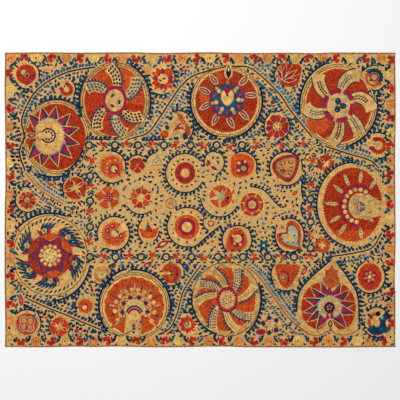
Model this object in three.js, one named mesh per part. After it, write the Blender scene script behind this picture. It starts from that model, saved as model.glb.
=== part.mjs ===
// Suzani embroidered textile, laid out flat with its embroidered face up.
// Millimetres, +Z up. The origin is under the middle of the cloth, on the surface it lies on.
// Five loom widths of cotton are sewn side by side, and a narrow woven edging runs round all four sides.
import * as THREE from "three";

// Driving dimensions
const LENGTH = 2320; // along X, over the edging
const WIDTH = 1750; // along Y, over the edging
const PANEL_NAMES = ["panel_top", "panel_upper", "panel_middle", "panel_lower", "panel_bottom"];
const CLOTH_THICKNESS = 2.0; // cotton ground with the silk that is couched down on it
const CLOTH_EASING = 0.4; // how far the rim of a panel is rounded off
const EDGING_WIDTH = 8.0;
const EDGING_HEIGHT = 2.6;
const SEWN_GAP = 0.3; // between neighbours that are sewn together
const STEPS_BETWEEN_ROWS = 4; // points from one row of a swell table to the next

const COTTON = { color: 0xd3a85f, roughness: 0.92, metalness: 0 };
const EDGING_SILK = { color: 0xa8742c, roughness: 0.85, metalness: 0 };

// The hand-sewn rim isn't straight. Each row says how far it swells out at one place along its side.
// The corners stay put, so every table starts and ends at zero.
const HALF_LENGTH = LENGTH / 2;
const HALF_WIDTH = WIDTH / 2;
const SWELLS = {
  top: [
    { along: -HALF_LENGTH, out: 0.0 },
    { along: -950, out: 2.5 },
    { along: -715, out: 0.6 },
    { along: -390, out: 2.2 },
    { along: -240, out: -1.8 },
    { along: 45, out: 2.5 },
    { along: 285, out: -2.4 },
    { along: 535, out: 0.2 },
    { along: 665, out: -3.0 },
    { along: 810, out: 1.2 },
    { along: HALF_LENGTH, out: 0.0 },
  ],
  bottom: [
    { along: -HALF_LENGTH, out: 0.0 },
    { along: -950, out: 1.4 },
    { along: -725, out: -2.6 },
    { along: -625, out: 0.2 },
    { along: -525, out: -3.2 },
    { along: -240, out: 1.8 },
    { along: 140, out: -3.2 },
    { along: 300, out: 1.8 },
    { along: 830, out: 2.5 },
    { along: HALF_LENGTH, out: 0.0 },
  ],
  left: [
    { along: -HALF_WIDTH, out: 0.0 },
    { along: -790, out: -1.8 },
    { along: -420, out: 2.5 },
    { along: -60, out: 1.6 },
    { along: 90, out: -2.6 },
    { along: 400, out: -1.2 },
    { along: 655, out: 2.5 },
    { along: HALF_WIDTH, out: 0.0 },
  ],
  right: [
    { along: -HALF_WIDTH, out: 0.0 },
    { along: -610, out: 1.2 },
    { along: -480, out: -3.4 },
    { along: -240, out: 1.8 },
    { along: 240, out: -0.8 },
    { along: 520, out: 2.5 },
    { along: HALF_WIDTH, out: 0.0 },
  ],
};

// How far a side swells out at a place along it: an easy wave from one row of its table to the next.
function swellAt(side, along) {
  const rows = SWELLS[side];
  const last = rows.length - 1;
  let next = rows.findIndex((row) => row.along > along);
  next = next < 1 ? (along < rows[0].along ? 1 : last) : next;
  const a = rows[next - 1];
  const b = rows[next];
  const share = THREE.MathUtils.clamp((along - a.along) / (b.along - a.along), 0, 1);
  return THREE.MathUtils.lerp(a.out, b.out, (1 - Math.cos(Math.PI * share)) / 2);
}

// The places along a side where its outline has points, from low to high, both ends included.
function placesAlong(side, low, high) {
  const rows = SWELLS[side];
  const places = [low];
  for (let i = 1; i < rows.length; i++) {
    for (let step = 0; step < STEPS_BETWEEN_ROWS; step++) {
      const place = THREE.MathUtils.lerp(rows[i - 1].along, rows[i].along, step / STEPS_BETWEEN_ROWS);
      if (place > low + 1 && place < high - 1) places.push(place);
    }
  }
  return [...places, high];
}

// Where the rim of the cloth itself lies, inside the edging.
const CLOTH_SETBACK = EDGING_WIDTH + SEWN_GAP;
const clothX = { left: (y) => -(HALF_LENGTH - CLOTH_SETBACK + swellAt("left", y)) };
clothX.right = (y) => HALF_LENGTH - CLOTH_SETBACK + swellAt("right", y);
const clothY = { bottom: (x) => -(HALF_WIDTH - CLOTH_SETBACK + swellAt("bottom", x)) };
clothY.top = (x) => HALF_WIDTH - CLOTH_SETBACK + swellAt("top", x);

// One loom width of cloth, from the seam below it to the seam above it.
// A panel at the top or bottom of the cloth follows the rim there instead of a seam.
function panelShape(index) {
  const seamAbove = HALF_WIDTH - (index * WIDTH) / PANEL_NAMES.length;
  const seamBelow = seamAbove - WIDTH / PANEL_NAMES.length;
  const isTop = index === 0;
  const isBottom = index === PANEL_NAMES.length - 1;
  const high = isTop ? HALF_WIDTH - CLOTH_SETBACK : seamAbove - SEWN_GAP / 2;
  const low = isBottom ? CLOTH_SETBACK - HALF_WIDTH : seamBelow + SEWN_GAP / 2;

  const rightSide = placesAlong("right", low, high).map((y) => new THREE.Vector2(clothX.right(y), y));
  const leftSide = placesAlong("left", low, high).map((y) => new THREE.Vector2(clothX.left(y), y));
  const rimInside = (side) =>
    placesAlong(side, -HALF_LENGTH + CLOTH_SETBACK, HALF_LENGTH - CLOTH_SETBACK)
      .slice(1, -1)
      .map((x) => new THREE.Vector2(x, clothY[side](x)));

  const outline = [...rightSide];
  if (isTop) outline.push(...rimInside("top").reverse());
  outline.push(...leftSide.reverse());
  if (isBottom) outline.push(...rimInside("bottom"));
  return new THREE.Shape(outline);
}

function makePanel(name, index) {
  const geometry = new THREE.ExtrudeGeometry(panelShape(index), {
    depth: CLOTH_THICKNESS - 2 * CLOTH_EASING,
    bevelEnabled: true,
    bevelThickness: CLOTH_EASING,
    bevelSize: CLOTH_EASING,
    bevelOffset: -CLOTH_EASING,
    bevelSegments: 1,
  });
  const panel = new THREE.Mesh(geometry, new THREE.MeshStandardMaterial(COTTON));
  panel.name = name;
  panel.position.z = CLOTH_EASING;
  return panel;
}

// The edging's section, flat underneath and crowned on top: how far in from the rim, and how high.
const EDGING_SECTION = [
  { inward: 0.0, height: 0.0 },
  { inward: 0.0, height: 0.45 },
  { inward: 0.16, height: 0.85 },
  { inward: 0.5, height: 1.0 },
  { inward: 0.84, height: 0.85 },
  { inward: 1.0, height: 0.45 },
  { inward: 1.0, height: 0.0 },
].map((point) => ({ inward: point.inward * EDGING_WIDTH, height: point.height * EDGING_HEIGHT }));

// A closed solid through a row of like sections, with a flat fan of faces over each end.
function loft(sections) {
  const around = sections[0].length;
  const positions = sections.flat().flatMap((point) => [point.x, point.y, point.z]);
  const index = [];
  for (let s = 0; s + 1 < sections.length; s++) {
    for (let i = 0; i < around; i++) {
      const here = s * around + i;
      const beside = s * around + ((i + 1) % around);
      index.push(here, beside, here + around, beside, beside + around, here + around);
    }
  }
  const lastSection = (sections.length - 1) * around;
  for (let i = 1; i + 1 < around; i++) {
    index.push(0, i + 1, i);
    index.push(lastSection, lastSection + i, lastSection + i + 1);
  }
  const geometry = new THREE.BufferGeometry();
  geometry.setAttribute("position", new THREE.Float32BufferAttribute(positions, 3));
  geometry.setIndex(index);
  geometry.computeVertexNormals();
  return geometry;
}

// The point of the rim at a place along a side, moved inward and up.
const RIM = {
  top: (x, inward, z) => new THREE.Vector3(x, HALF_WIDTH + swellAt("top", x) - inward, z),
  bottom: (x, inward, z) => new THREE.Vector3(-x, inward - HALF_WIDTH - swellAt("bottom", -x), z),
  left: (y, inward, z) => new THREE.Vector3(inward - HALF_LENGTH - swellAt("left", y), y, z),
  right: (y, inward, z) => new THREE.Vector3(HALF_LENGTH + swellAt("right", -y) - inward, -y, z),
};

// The top and bottom strips run right across, and the side strips fit in between them.
function makeEdging(side) {
  const across = side === "top" || side === "bottom";
  const reach = across ? HALF_LENGTH : HALF_WIDTH - CLOTH_SETBACK;
  const turned = side === "bottom" || side === "right";
  const places = placesAlong(side, -reach, reach).map((place) => (turned ? -place : place));
  if (turned) places.reverse();
  const sections = places.map((place) =>
    EDGING_SECTION.map((point) => RIM[side](place, point.inward, point.height)),
  );
  const edging = new THREE.Mesh(loft(sections), new THREE.MeshStandardMaterial(EDGING_SILK));
  edging.name = `edging_${side}`;
  return edging;
}

const suzani = new THREE.Group();
PANEL_NAMES.forEach((name, index) => suzani.add(makePanel(name, index)));
["top", "bottom", "left", "right"].forEach((side) => suzani.add(makeEdging(side)));

export default suzani;
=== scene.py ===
# %% [markdown]
# # A suzani, laid out flat
# A suzani is a large embroidered cover from Central Asia. Narrow loom widths of cotton are basted
# together and the pattern is drawn over all of them. They are then taken apart, worked in silk by several
# people, and sewn up again, so a motif that crosses a seam often changes shade there. This script dresses
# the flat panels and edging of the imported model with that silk: rosettes, leafy vines, two borders and a
# field of small flowers.

# %% Load the frame
import math
import random

import bpy
import numpy as np
from mathutils.geometry import tessellate_polygon
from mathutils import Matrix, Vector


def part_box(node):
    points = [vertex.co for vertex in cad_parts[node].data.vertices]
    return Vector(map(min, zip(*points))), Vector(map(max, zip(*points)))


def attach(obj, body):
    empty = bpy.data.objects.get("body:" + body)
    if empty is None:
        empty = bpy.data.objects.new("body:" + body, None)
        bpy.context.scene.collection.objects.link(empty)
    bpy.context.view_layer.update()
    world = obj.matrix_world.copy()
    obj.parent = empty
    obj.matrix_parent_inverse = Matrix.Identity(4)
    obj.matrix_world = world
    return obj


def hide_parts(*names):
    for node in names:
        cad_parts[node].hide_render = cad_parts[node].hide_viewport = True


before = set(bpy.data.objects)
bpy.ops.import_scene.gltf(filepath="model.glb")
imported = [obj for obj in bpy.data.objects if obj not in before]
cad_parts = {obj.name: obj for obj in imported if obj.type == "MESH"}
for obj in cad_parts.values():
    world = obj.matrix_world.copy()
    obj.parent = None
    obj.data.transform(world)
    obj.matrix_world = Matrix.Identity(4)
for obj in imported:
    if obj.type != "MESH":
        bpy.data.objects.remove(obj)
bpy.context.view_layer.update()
MM = 0.001
PANELS = ["panel_top", "panel_upper", "panel_middle", "panel_lower", "panel_bottom"]
SIDES = ["top", "bottom", "left", "right"]

# %% [markdown]
# ## The drawing on the cloth
# The pattern is drawn freehand on the basted cloth before any silk goes in. Here the drawing is a chart:
# its unit is one pixel of the photograph's 400 by 400 frame, about 6 mm on the cloth, measured from the
# middle of the cloth with y upwards. Places below are written as photo pixels and turned into chart
# points by one function.

# %% The chart
CLOTH_LENGTH_PX = 390.2  # the cloth's long side in the photo
MIDDLE_PX = (200.1, 199.85)  # the middle of the cloth in the photo
edge_low, edge_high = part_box("edging_top")
UNIT = (edge_high[0] - edge_low[0]) / CLOTH_LENGTH_PX  # one chart unit, in metres


def spot(px, py):
    """A place in the photo as a chart point."""
    return np.array((px - MIDDLE_PX[0], MIDDLE_PX[1] - py))


def spots(places):
    """A row of places in the photo as chart points."""
    return np.array([spot(px, py) for px, py in places])


print("one chart unit is", round(UNIT / MM, 3), "mm")

# %% [markdown]
# ## Lines and outlines
# Everything is drawn from a few kinds of outline: a ring, an easy curve through some points, a blade that
# follows a middle line and swells and tapers, and any outline with teeth cut into it. All of them are
# chart points.

# %% Paths
STEP = 1.3  # the usual distance from one point of an outline to the next


def around(middle, rx, ry=None, start=0.0, sweep=360.0, step=STEP):
    """Points along an ellipse, anticlockwise from start, in degrees from the right."""
    ry = rx if ry is None else ry
    whole = abs(sweep) >= 359.9
    count = max(7, int(math.radians(abs(sweep)) * (rx + ry) / 2 / step))
    turns = np.radians(start + sweep * np.arange(count + (not whole)) / count)
    return np.stack((middle[0] + rx * np.cos(turns), middle[1] + ry * np.sin(turns)), axis=1)


def curve(points, closed=False):
    """An easy curve through the points."""
    points = np.asarray(points, float)
    if closed:
        points = np.vstack((points[-1], points, points[0], points[1]))
    else:
        points = np.vstack((2 * points[0] - points[1], points, 2 * points[-1] - points[-2]))
    parts = []
    for a, b, c, d in zip(points, points[1:], points[2:], points[3:]):
        count = max(2, int(np.linalg.norm(c - b) / STEP))
        t = (np.arange(count) / count)[:, None]
        square = a - 2.5 * b + 2 * c - d / 2
        cube = 1.5 * (b - c) + (d - a) / 2
        parts.append(b + t * (c - a) / 2 + t**2 * square + t**3 * cube)
    if not closed:
        parts.append(points[-2:-1])
    return np.vstack(parts)


def rounded(places):
    """An easy closed curve through some places in the photo."""
    return curve(spots(places), closed=True)


def normals(path, closed=False):
    """Unit vectors to the left of a path."""
    if closed:
        along = np.roll(path, -1, axis=0) - np.roll(path, 1, axis=0)
    else:
        along = np.gradient(path, axis=0)
    left = np.stack((-along[:, 1], along[:, 0]), axis=1)
    return left / np.maximum(np.linalg.norm(left, axis=1), 1e-9)[:, None]


def beside(path, offset):
    """The same path moved to its left."""
    return path + normals(path) * offset


def evenly(path, spacing, closed=False):
    """A path with its points at one even spacing."""
    loop = np.vstack((path, path[:1])) if closed else path
    runs = np.concatenate(([0], np.cumsum(np.linalg.norm(np.diff(loop, axis=0), axis=1))))
    count = max(3, int(round(runs[-1] / spacing)))
    marks = np.linspace(0, runs[-1], count + 1)[: count if closed else None]
    return np.stack((np.interp(marks, runs, loop[:, 0]), np.interp(marks, runs, loop[:, 1])), axis=1)


# %% Outlines
def area_of(outline):
    """Signed area, positive for an outline that runs anticlockwise."""
    x, y = outline[:, 0], outline[:, 1]
    return 0.5 * float(np.sum(x * np.roll(y, -1) - y * np.roll(x, -1)))


def toothed(outline, pitch, depth):
    """A closed outline with pointed teeth that stand out by depth."""
    outline = outline if area_of(outline) > 0 else outline[::-1]
    ring = evenly(outline, pitch / 2, closed=True)
    ring = ring[: len(ring) // 2 * 2]
    lift = np.where(np.arange(len(ring)) % 2 == 0, depth, 0.0)[:, None]
    return ring - normals(ring, closed=True) * lift


def blade(path, half_widths):
    """The outline of a shape that follows a middle line and is as wide as told at each of its points."""
    side = normals(path) * np.maximum(np.asarray(half_widths, float), 0.03)[:, None]
    return np.vstack((path - side, (path + side)[::-1]))


def leaf(base, length, width, turn, bend=0.0, blunt=1.0, count=6):
    """A leaf that starts at base and points along turn, in degrees. It bends to its left by bend degrees."""
    t = np.linspace(0, 1, count)
    heading = math.radians(turn) + math.radians(bend) * t / 2
    path = np.asarray(base) + length * t[:, None] * np.stack((np.cos(heading), np.sin(heading)), axis=1)
    return blade(path, width / 2 * np.sin(np.pi * t**0.85) ** blunt)


def toward(middle, turn, reach):
    """The chart point that lies reach away from middle along turn, in degrees."""
    angle = math.radians(turn)
    return np.asarray(middle) + reach * np.array((math.cos(angle), math.sin(angle)))


# %% [markdown]
# ## The needlework list
# Silk is laid over the cotton in long parallel threads and couched down with small slanting stitches, so
# every filled shape is a low pad with a rounded rim. The list below keeps each shape in the order it is
# worked. A coarse map of the cloth counts how many layers of silk lie at each place, so that a shape
# always lies a hair higher than what is under it. It also shows where the cloth is still bare when the
# filling leaves are put down.

# %% Map of the layers
work = []  # every filled shape and line, in the order it is worked
leaf_rows = {}  # thread -> its rows of small leaves, made later with Geometry Nodes
CELL = 0.5  # size of one cell of the map of layers, in chart units
MAP_SHAPE = (int(400 / CELL), int(300 / CELL))
MAP_CORNER = np.array((-200, -150))  # the chart point at the map's first cell
layers = np.zeros(MAP_SHAPE, int)


def cells_within(outline):
    """Slices of the map round an outline, and which of those cells lie inside it."""
    low = np.floor((outline.min(axis=0) - MAP_CORNER) / CELL).astype(int)
    high = np.ceil((outline.max(axis=0) - MAP_CORNER) / CELL).astype(int) + 1
    low = np.clip(low, 0, MAP_SHAPE)
    high = np.clip(high, 0, MAP_SHAPE)
    columns, rows = (np.arange(low[k], high[k]) * CELL + MAP_CORNER[k] for k in (0, 1))
    x, y = np.meshgrid(columns, rows, indexing="ij")
    inside = np.zeros(x.shape, bool)
    for a, b in zip(outline, np.roll(outline, -1, axis=0)):
        if a[1] == b[1]:
            continue
        inside ^= ((a[1] > y) != (b[1] > y)) & (x < (b[0] - a[0]) * (y - a[1]) / (b[1] - a[1]) + a[0])
    return (slice(low[0], high[0]), slice(low[1], high[1])), inside


def cells_along(path, width=0.0):
    """The cells of the map along a path, over some width."""
    parts = [beside(path, offset) for offset in ((-width / 2, 0, width / 2) if width else (0,))]
    points = np.vstack([evenly(part, CELL) for part in parts])
    cells = np.clip(np.floor((points - MAP_CORNER) / CELL).astype(int), 0, np.array(MAP_SHAPE) - 1)
    return cells[:, 0], cells[:, 1]


def lay_along(path, width=0.0):
    """Counts one more layer along a path, and says which it is."""
    cells = cells_along(path, width)
    level = int(layers[cells].max()) + 1
    layers[cells] = level
    return level


print("map of the layers:", MAP_SHAPE, "cells")


# %% Shapes in silk
def fill(thread, outline, grain=90.0, hub=None, puff=False):
    """Lays silk over an outline. grain is the way the threads run, or they run out from hub."""
    outline = np.asarray(outline, float)
    outline = outline if area_of(outline) > 0 else outline[::-1]
    place, inside = cells_within(outline)
    rim = cells_along(np.vstack((outline, outline[:1])))
    level = int(max(layers[place][inside].max(initial=0), layers[rim].max())) + 1
    layers[place][inside] = level
    layers[rim] = level
    work.append(
        {"thread": thread, "outline": outline, "grain": grain, "hub": hub, "puff": puff, "level": level}
    )


def line(thread, path, width, closed=False):
    """Works a line of chain stitch along a path."""
    path = np.asarray(path, float)
    path = np.vstack((path, path[:2])) if closed else path
    work.append({"thread": thread, "path": path, "width": width, "level": lay_along(path, width)})


def dot(thread, middle, rx, ry=None, turn=0.0):
    """A small round or oval spot of satin stitch."""
    ry = rx if ry is None else ry
    c, s = math.cos(math.radians(turn)), math.sin(math.radians(turn))
    ring = around((0, 0), rx, ry, step=max(0.5, 0.7 * rx))
    fill(thread, ring @ np.array(((c, s), (-s, c))) + middle, grain=turn, puff=True)


def petal(thread, base, length, width, turn, bend=0.0, blunt=1.0, puff=False):
    """A leaf-shaped pad with its threads running lengthwise."""
    fill(thread, leaf(base, length, width, turn, bend, blunt), grain=turn, puff=puff)


def disc(thread, middle, rx, ry=None):
    """A round or oval pad with its threads running out from the middle."""
    fill(thread, around(middle, rx, ry), hub=middle)


def oval(thread, px, py, rx, ry=None):
    """A round or oval pad at a place in the photo, with its threads running across."""
    fill(thread, around(spot(px, py), rx, ry), grain=0.0)


def dab(thread, px, py, rx, ry=None, turn=0.0):
    """A spot of satin stitch at a place in the photo."""
    dot(thread, spot(px, py), rx, ry, turn)


def dots(thread, places, rx, ry=None, turn=0.0):
    """Spots of satin stitch at some places in the photo."""
    for px, py in places:
        dab(thread, px, py, rx, ry, turn)


def dot_ring(threads, middle, count, reach, r, start=0.0):
    """Round spots in a ring about a middle. threads take turns."""
    for k in range(count):
        dot(threads[k % len(threads)], toward(middle, 360 / count * k + start, reach), r)


def ray(thread, middle, turn, start, end, width):
    """A straight line that runs out from a middle."""
    line(thread, [toward(middle, turn, start), toward(middle, turn, end)], width)


def tell(what):
    """Prints how long the working list is by now."""
    print(len(work), "shapes with", what)


# %% Rows of leaves and bare ground
def leaves(thread, path, length, width, spacing, lean):
    """A row of small leaves along a path. lean is from the path, to the left where it is positive."""
    reach = beside(path, 0.45 * length * math.sin(math.radians(lean)))
    level = lay_along(reach, 0.6 * length)
    leaf_rows.setdefault(thread, []).append((path, length, width, spacing, lean, level))


def is_free(point, reach):
    """Whether the ground is bare for a way round a point."""
    low = np.floor((point - reach - MAP_CORNER) / CELL).astype(int)
    high = np.ceil((point + reach - MAP_CORNER) / CELL).astype(int) + 1
    return not layers[low[0] : high[0], low[1] : high[1]].any()


def free_runs(path, reach):
    """The stretches of a path that lie on bare ground."""
    runs = [[]]
    for point in path:
        if is_free(point, reach):
            runs[-1].append(point)
        elif runs[-1]:
            runs.append([])
    return [np.array(run) for run in runs if len(run) > 3]


stems = []  # the paths of the leafy stems


def leafy(path, width=2.0, size=(5.2, 3.6), spacing=4.4):
    """A dark stem with small leaves on its left, as it runs round most of the flowers."""
    line("navy", path, width)
    leaves("indigo", beside(path, 0.4), *size, spacing, lean=48.0)
    stems.append(path)


# %% [markdown]
# ## Whirling rosettes
# Three of the large rosettes are whirls: red petals swing round a crimson ring and are parted by bent
# bands of plain ground that carry rows of dots or fine lines. A dark line, with teeth on two of the
# three, follows the edge of each band. Wheat-coloured silk and thin wandering lines go all round.

# %% Whirl
SWAY_PITCH, SWAY_DEPTH = 5.6, 0.32  # how far apart the sways of a hand-drawn line are, and how deep


def wandering(outline):
    """A closed line that sways to either side, as one drawn by hand does."""
    path = evenly(outline, SWAY_PITCH / 4, closed=True)
    sway = SWAY_DEPTH * np.sin(np.arange(len(path)) * math.pi / 2)
    return path + normals(path) * sway[:, None]


def halo(middle, rx, ry, gaps=(3.0, 5.0)):
    """Wheat-coloured silk round a flower, with thin dark lines in it at some gaps from the flower's rim."""
    spare = gaps[-1] + 0.8
    fill("wheat", around(middle, rx + spare, ry + spare), grain=0.0)
    for gap in gaps:
        line("olive", wandering(around(middle, rx + gap, ry + gap)), 0.95, closed=True)


def whirl(middle, rx, ry, bands, width, start, reach, edges, teeth, flare, curl):
    """Bent bands of ground that part the petals, from start to reach as shares of the way out.

    A band is its turn at the inner end, its bend, what is worked inside it and the thread for that.
    """
    t = np.linspace(0, 1, 12)
    shares = start + (reach - start) * t
    rise = np.sin(np.pi / 2 * np.minimum(1, 1.5 * t))
    swell = width / 2 * (0.66 + 0.34 * rise + flare * np.maximum(0, t - 0.62) ** 2)
    for turn, twist, inside, thread in bands:
        bent = np.radians(turn + twist * t**curl)
        ways = [np.array((rx * math.cos(angle), ry * math.sin(angle))) for angle in bent]
        path = np.array([middle + share * way for share, way in zip(shares, ways)])
        fill("wheat", blade(path, swell), grain=turn + twist)
        for side in edges:
            edge = path + normals(path) * (side * swell)[:, None]
            line("indigo", edge[1:-1], 1.5)
            if teeth:
                leaves("indigo", edge[1:-2], 3.0, 1.9, 3.0, side * 75.0)
        if inside == "fine lines":
            for offset in (-1.0, 1.0):
                line(thread, beside(path, offset)[1:-1], 0.6)
        elif inside == "two rows":
            for offset in (-1.2, 1.2):
                for point in evenly(beside(path, offset)[2:-3], 2.5):
                    dot(thread, point, 1.4, 0.9, turn)
        elif inside == "three rows":
            for offset in (-0.27 * width, 0, 0.27 * width):
                row = evenly(beside(path, offset)[1:-1], 0.36 * width)
                for point in row[(0 if offset else 1) :]:
                    dot(thread, point, 0.16 * width, 0.11 * width, turn + twist / 2)


def wedge(middle, rx, ry, start, sweep):
    """A slice of an ellipse."""
    return np.vstack(([middle], around(middle, rx, ry, start, sweep)))


# %% Upper left whirl
# Six bands with three rows of dots in each and teeth along one edge.
middle = spot(114.7, 101.2)
halo(middle, 29.2, 33.6)
fill("brick", toothed(around(middle, 30.0, 34.6), 1.9, 0.9), grain=0.0)
for start, sweep in ((104, 44), (42, 52), (-8, 42)):
    fill("orange", wedge(middle, 29.6, 34.2, start, sweep), grain=0.0)
bands = [(138, "teal"), (80, "navy"), (22, "teal"), (-46, "navy"), (-89, "teal"), (-146, "navy")]
bands = [(turn, 22, "three rows", thread) for turn, thread in bands]
whirl(
    middle, 30.5, 35.5, bands, width=10.6, start=0.34, reach=0.99, edges=(-1,), teeth=True,
    flare=1.0, curl=2,
)
ring = spot(114.7, 100.3)
disc("crimson", ring, 12.2, 14.8)
fill("wheat", around(ring, 9.3, 11.2))
for px, py, turn in ((112.5, 95.8, 40), (119.4, 102, 95), (112.5, 105.8, -35)):
    dab("indigo", px, py, 2.7, 1.6, turn)
tell("the upper left whirl")

# %% Upper right whirl
# Six bands with two rows of dots in each, round a broken ring and a blue knot.
middle = spot(338.6, 105.6)
halo(middle, 31.6, 36.0)
fill("brick", toothed(around(middle, 32.3, 36.6), 1.9, 0.9), grain=0.0)
oval("orange", 318, 124, 11.5, 9.5)
bends = ((143, -17), (79, -27), (25, -32), (-41, -11), (-86, -18), (-158, -21))
bands = [(*bend, "two rows", thread) for bend, thread in zip(bends, ("navy", "teal") * 3)]
whirl(
    middle, 32.5, 37, bands, width=12.8, start=0.4, reach=1.05, edges=(-1, 1), teeth=False,
    flare=0.5, curl=2,
)
fill("wheat", around(middle, 15.6, 16.4), grain=0.0)
for k in range(6):
    arc = around(middle, 14.0, 15.0, 20 + 60 * k, 49, step=2.0)
    swell = 2.3 + 0.6 * np.sin(np.linspace(0, math.pi, len(arc)))
    fill("crimson", blade(arc, swell), grain=60.0 * k)
for px, py, turn in ((345.4, 97.4, 45), (330.4, 102.7, 80), (343.2, 115.5, 10)):
    dab("celadon", px, py, 2.7, 2.1, turn)
knot = spot(339, 105.4)
for turn in (105, -8, -112):
    dot("indigo", toward(knot, turn, 3.9), 4.0, 3.3, turn)
    dot("sky", toward(knot, turn, 5.4), 1.1)
line("scarlet", [toward(knot, turn, 2.2) for turn in (105, -8, -112)], 1.1, closed=True)
dot("peach", knot, 1.4)
tell("the upper right whirl")

# %% Bottom whirl
# Eight bands, four with dots and four with fine lines, round a toothed ring.
middle = spot(226.4, 299.3)
halo(middle, 28.6, 31.4, gaps=(5.6,))
fill("orange", toothed(around(middle, 28.8, 31.6), 1.8, 0.7))
dotted, plain = (126, 43, -58, -143), (93, -3, -95, 159)
bands = [(turn, 28, "three rows", "teal") for turn in dotted]
bands += [(turn, 28, "fine lines", "olive") for turn in plain]
whirl(
    middle, 28.8, 31.7, bands, width=7.8, start=0.36, reach=1.07, edges=(-1,), teeth=True,
    flare=2.0, curl=1,
)
ring = spot(227.3, 299.7)
disc("crimson", ring, 10.6, 13.0)
fill("wheat", toothed(around(ring, 7.0, 8.6), 2.6, 1.7), hub=ring)
dot_ring(("sky", "indigo"), ring, 10, 4.0, 0.9)
dot_ring(("orange",), ring, 4, 2.0, 0.8, 45)
tell("the bottom whirl")

# %% [markdown]
# ## Star rosettes
# The star at the top left and the heart-shaped one at the bottom right have crimson points on a red
# ground. Each point has one dark blue side and a cream outline, and they stand round a pale disc with a
# small ring and a bud. The one at the bottom left is a six-pointed star on a red disc in a wreath of dark
# feathers.


# %% Star points
def star_points(middle, inner, outer, width, turns):
    """Crimson points that stand out from a disc, with a dark blue side and a cream outline."""
    t = np.linspace(0, 1, 5)
    taper = (1 - t) ** 0.85
    for turn in turns:
        aside = toward((0, 0), turn + 90, 1.0)
        for thread, end, wide, shift in (
            ("wheat", outer + 1.2, width, 0.0),
            ("indigo", outer - 0.4, width - 2.0, 0.0),
            ("crimson", outer - 2.6, width * 0.6, 0.13 * width),
        ):
            path = np.array([toward(middle, turn, inner - 1.0 + (end - inner + 1.0) * s) for s in t])
            fill(thread, blade(path + (shift * taper)[:, None] * aside, wide / 2 * taper), grain=turn)


# %% Left star
# Ten points round a pale disc, with a ring and a bud at the open side.
middle = spot(56.3, 137)
halo(middle, 28.6, 32.2, gaps=(2.6, 4.6))
fill("brick", toothed(around(middle, 29.0, 32.8), 2.0, 1.0), grain=0.0)
star = spot(49, 136.6)
turns = [132, 104, 77, 47, 16, -14, -43, -73, -104, -133]
fill("crimson", around(star, 18.4, 21.4, -150, 300), hub=star)
star_points(star, 13.5, 31.0, 16.4, turns)
fill("celadon", toothed(around(star, 14.4, 17.4), 2.4, 2.2), hub=star)
fill("wheat", toothed(around(star, 13.6, 16.6), 2.4, 2.0), hub=star)
for turn in range(0, 360, 18):
    reach = 12.6 + 2.6 * abs(math.sin(math.radians(turn)))
    ray("peach", star, turn, 9.0, reach, 0.9)
fill("brick", blade(spots(((26.5, 136), (36, 136))), (8.0, 5.5)), grain=0.0)
line("indigo", around(spot(41, 135.6), 3.9, 4.0, 60, 240), 1.0)
dab("wheat", 41, 135.6, 3.4)
ring = spot(48.4, 135.6)
fill("wheat", around(ring, 6.6), hub=star)
line("aubergine", around(ring, 6.8, 6.8, -145, 290), 2.2)
for turn in range(-120, 121, 40):
    dot("indigo", toward(ring, turn, 4.0), 1.3)
bud = spot(31.6, 135.6)
petal("wheat", bud - (6.4, 0), 12.8, 8.4, 0)
for side in (-1, 1):
    edge = [bud + (-3.6, side * 2.6), bud + (0, side * 3.6), bud + (3.6, side * 2.6)]
    line("indigo", curve(edge), 0.8)
petal("crimson", bud - (4.9, 0), 9.8, 5.6, 0)
petal("peach", bud - (2.6, 0), 5.2, 2.4, 0)
tell("the left star")

# %% Heart star
# Eleven points on a heart-shaped ground, with a flame at its top and a bud at its foot.
star = spot(329.7, 307)
outer = [(333.8, 259), (341, 266), (350, 280), (358.5, 297), (359.5, 320), (346, 334), (330.5, 330)]
outer += [(316, 335), (298, 322), (298.5, 297), (312, 277), (328, 262)]
fill("wheat", rounded(outer))
inner = [(331, 281.5), (348, 288), (355.6, 305), (351, 324), (339, 329), (329.5, 320), (318, 329.5)]
inner += [(304.5, 320), (302, 302), (311, 286)]
fill("brick", toothed(rounded(inner), 1.9, 0.7), grain=0.0)
petal("wheat", spot(330.4, 293), 31, 27, 87, blunt=0.9)
foot = spot(331, 288.5)
flame = [foot]
for k, turn in enumerate(np.linspace(20, 156, 15)):
    tongue = 12 + 13 * math.cos(math.radians(turn - 88)) ** 8
    flame.append(toward(foot, turn, tongue if k % 2 else 0.8 * tongue))
fill("flame", flame)
turns = [108, 134, 161, -169, -147, -121, 65, 40, 9, -15, -51]
star_points(star, 11.0, 27.0, 12.4, turns)
fill("crimson", blade(spots(((329.4, 298), (329.4, 287.5))), (4.2, 1.2)))
fill("celadon", toothed(around(star, 11.2, 10.6), 2.2, 2.0), hub=star)
fill("wheat", toothed(around(star, 9.8, 9.2), 2.2, 1.2), hub=star)
fill("crimson", blade(spots(((329.5, 309), (329.9, 319))), (2.0, 4.6)))
eye = spot(329.4, 307.4)
disc("indigo", eye, 5.7)
disc("aubergine", eye, 4.4)
dot("crimson", eye, 3.3)
dot_ring(("wheat",), eye, 5, 2.3, 0.85, 90)
dab("wheat", 329.6, 315.2, 1.6, 2.0)
bud = spot(330.3, 323.6)
petal("wheat", bud - (0, 6.0), 12.0, 7.4, 90)
petal("indigo", bud - (0, 4.6), 9.2, 5.2, 90)
petal("wheat", bud - (0, 2.6), 5.2, 2.4, 90)
dab("crimson", 330.6, 329.4, 1.4)
tell("the heart star")

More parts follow.
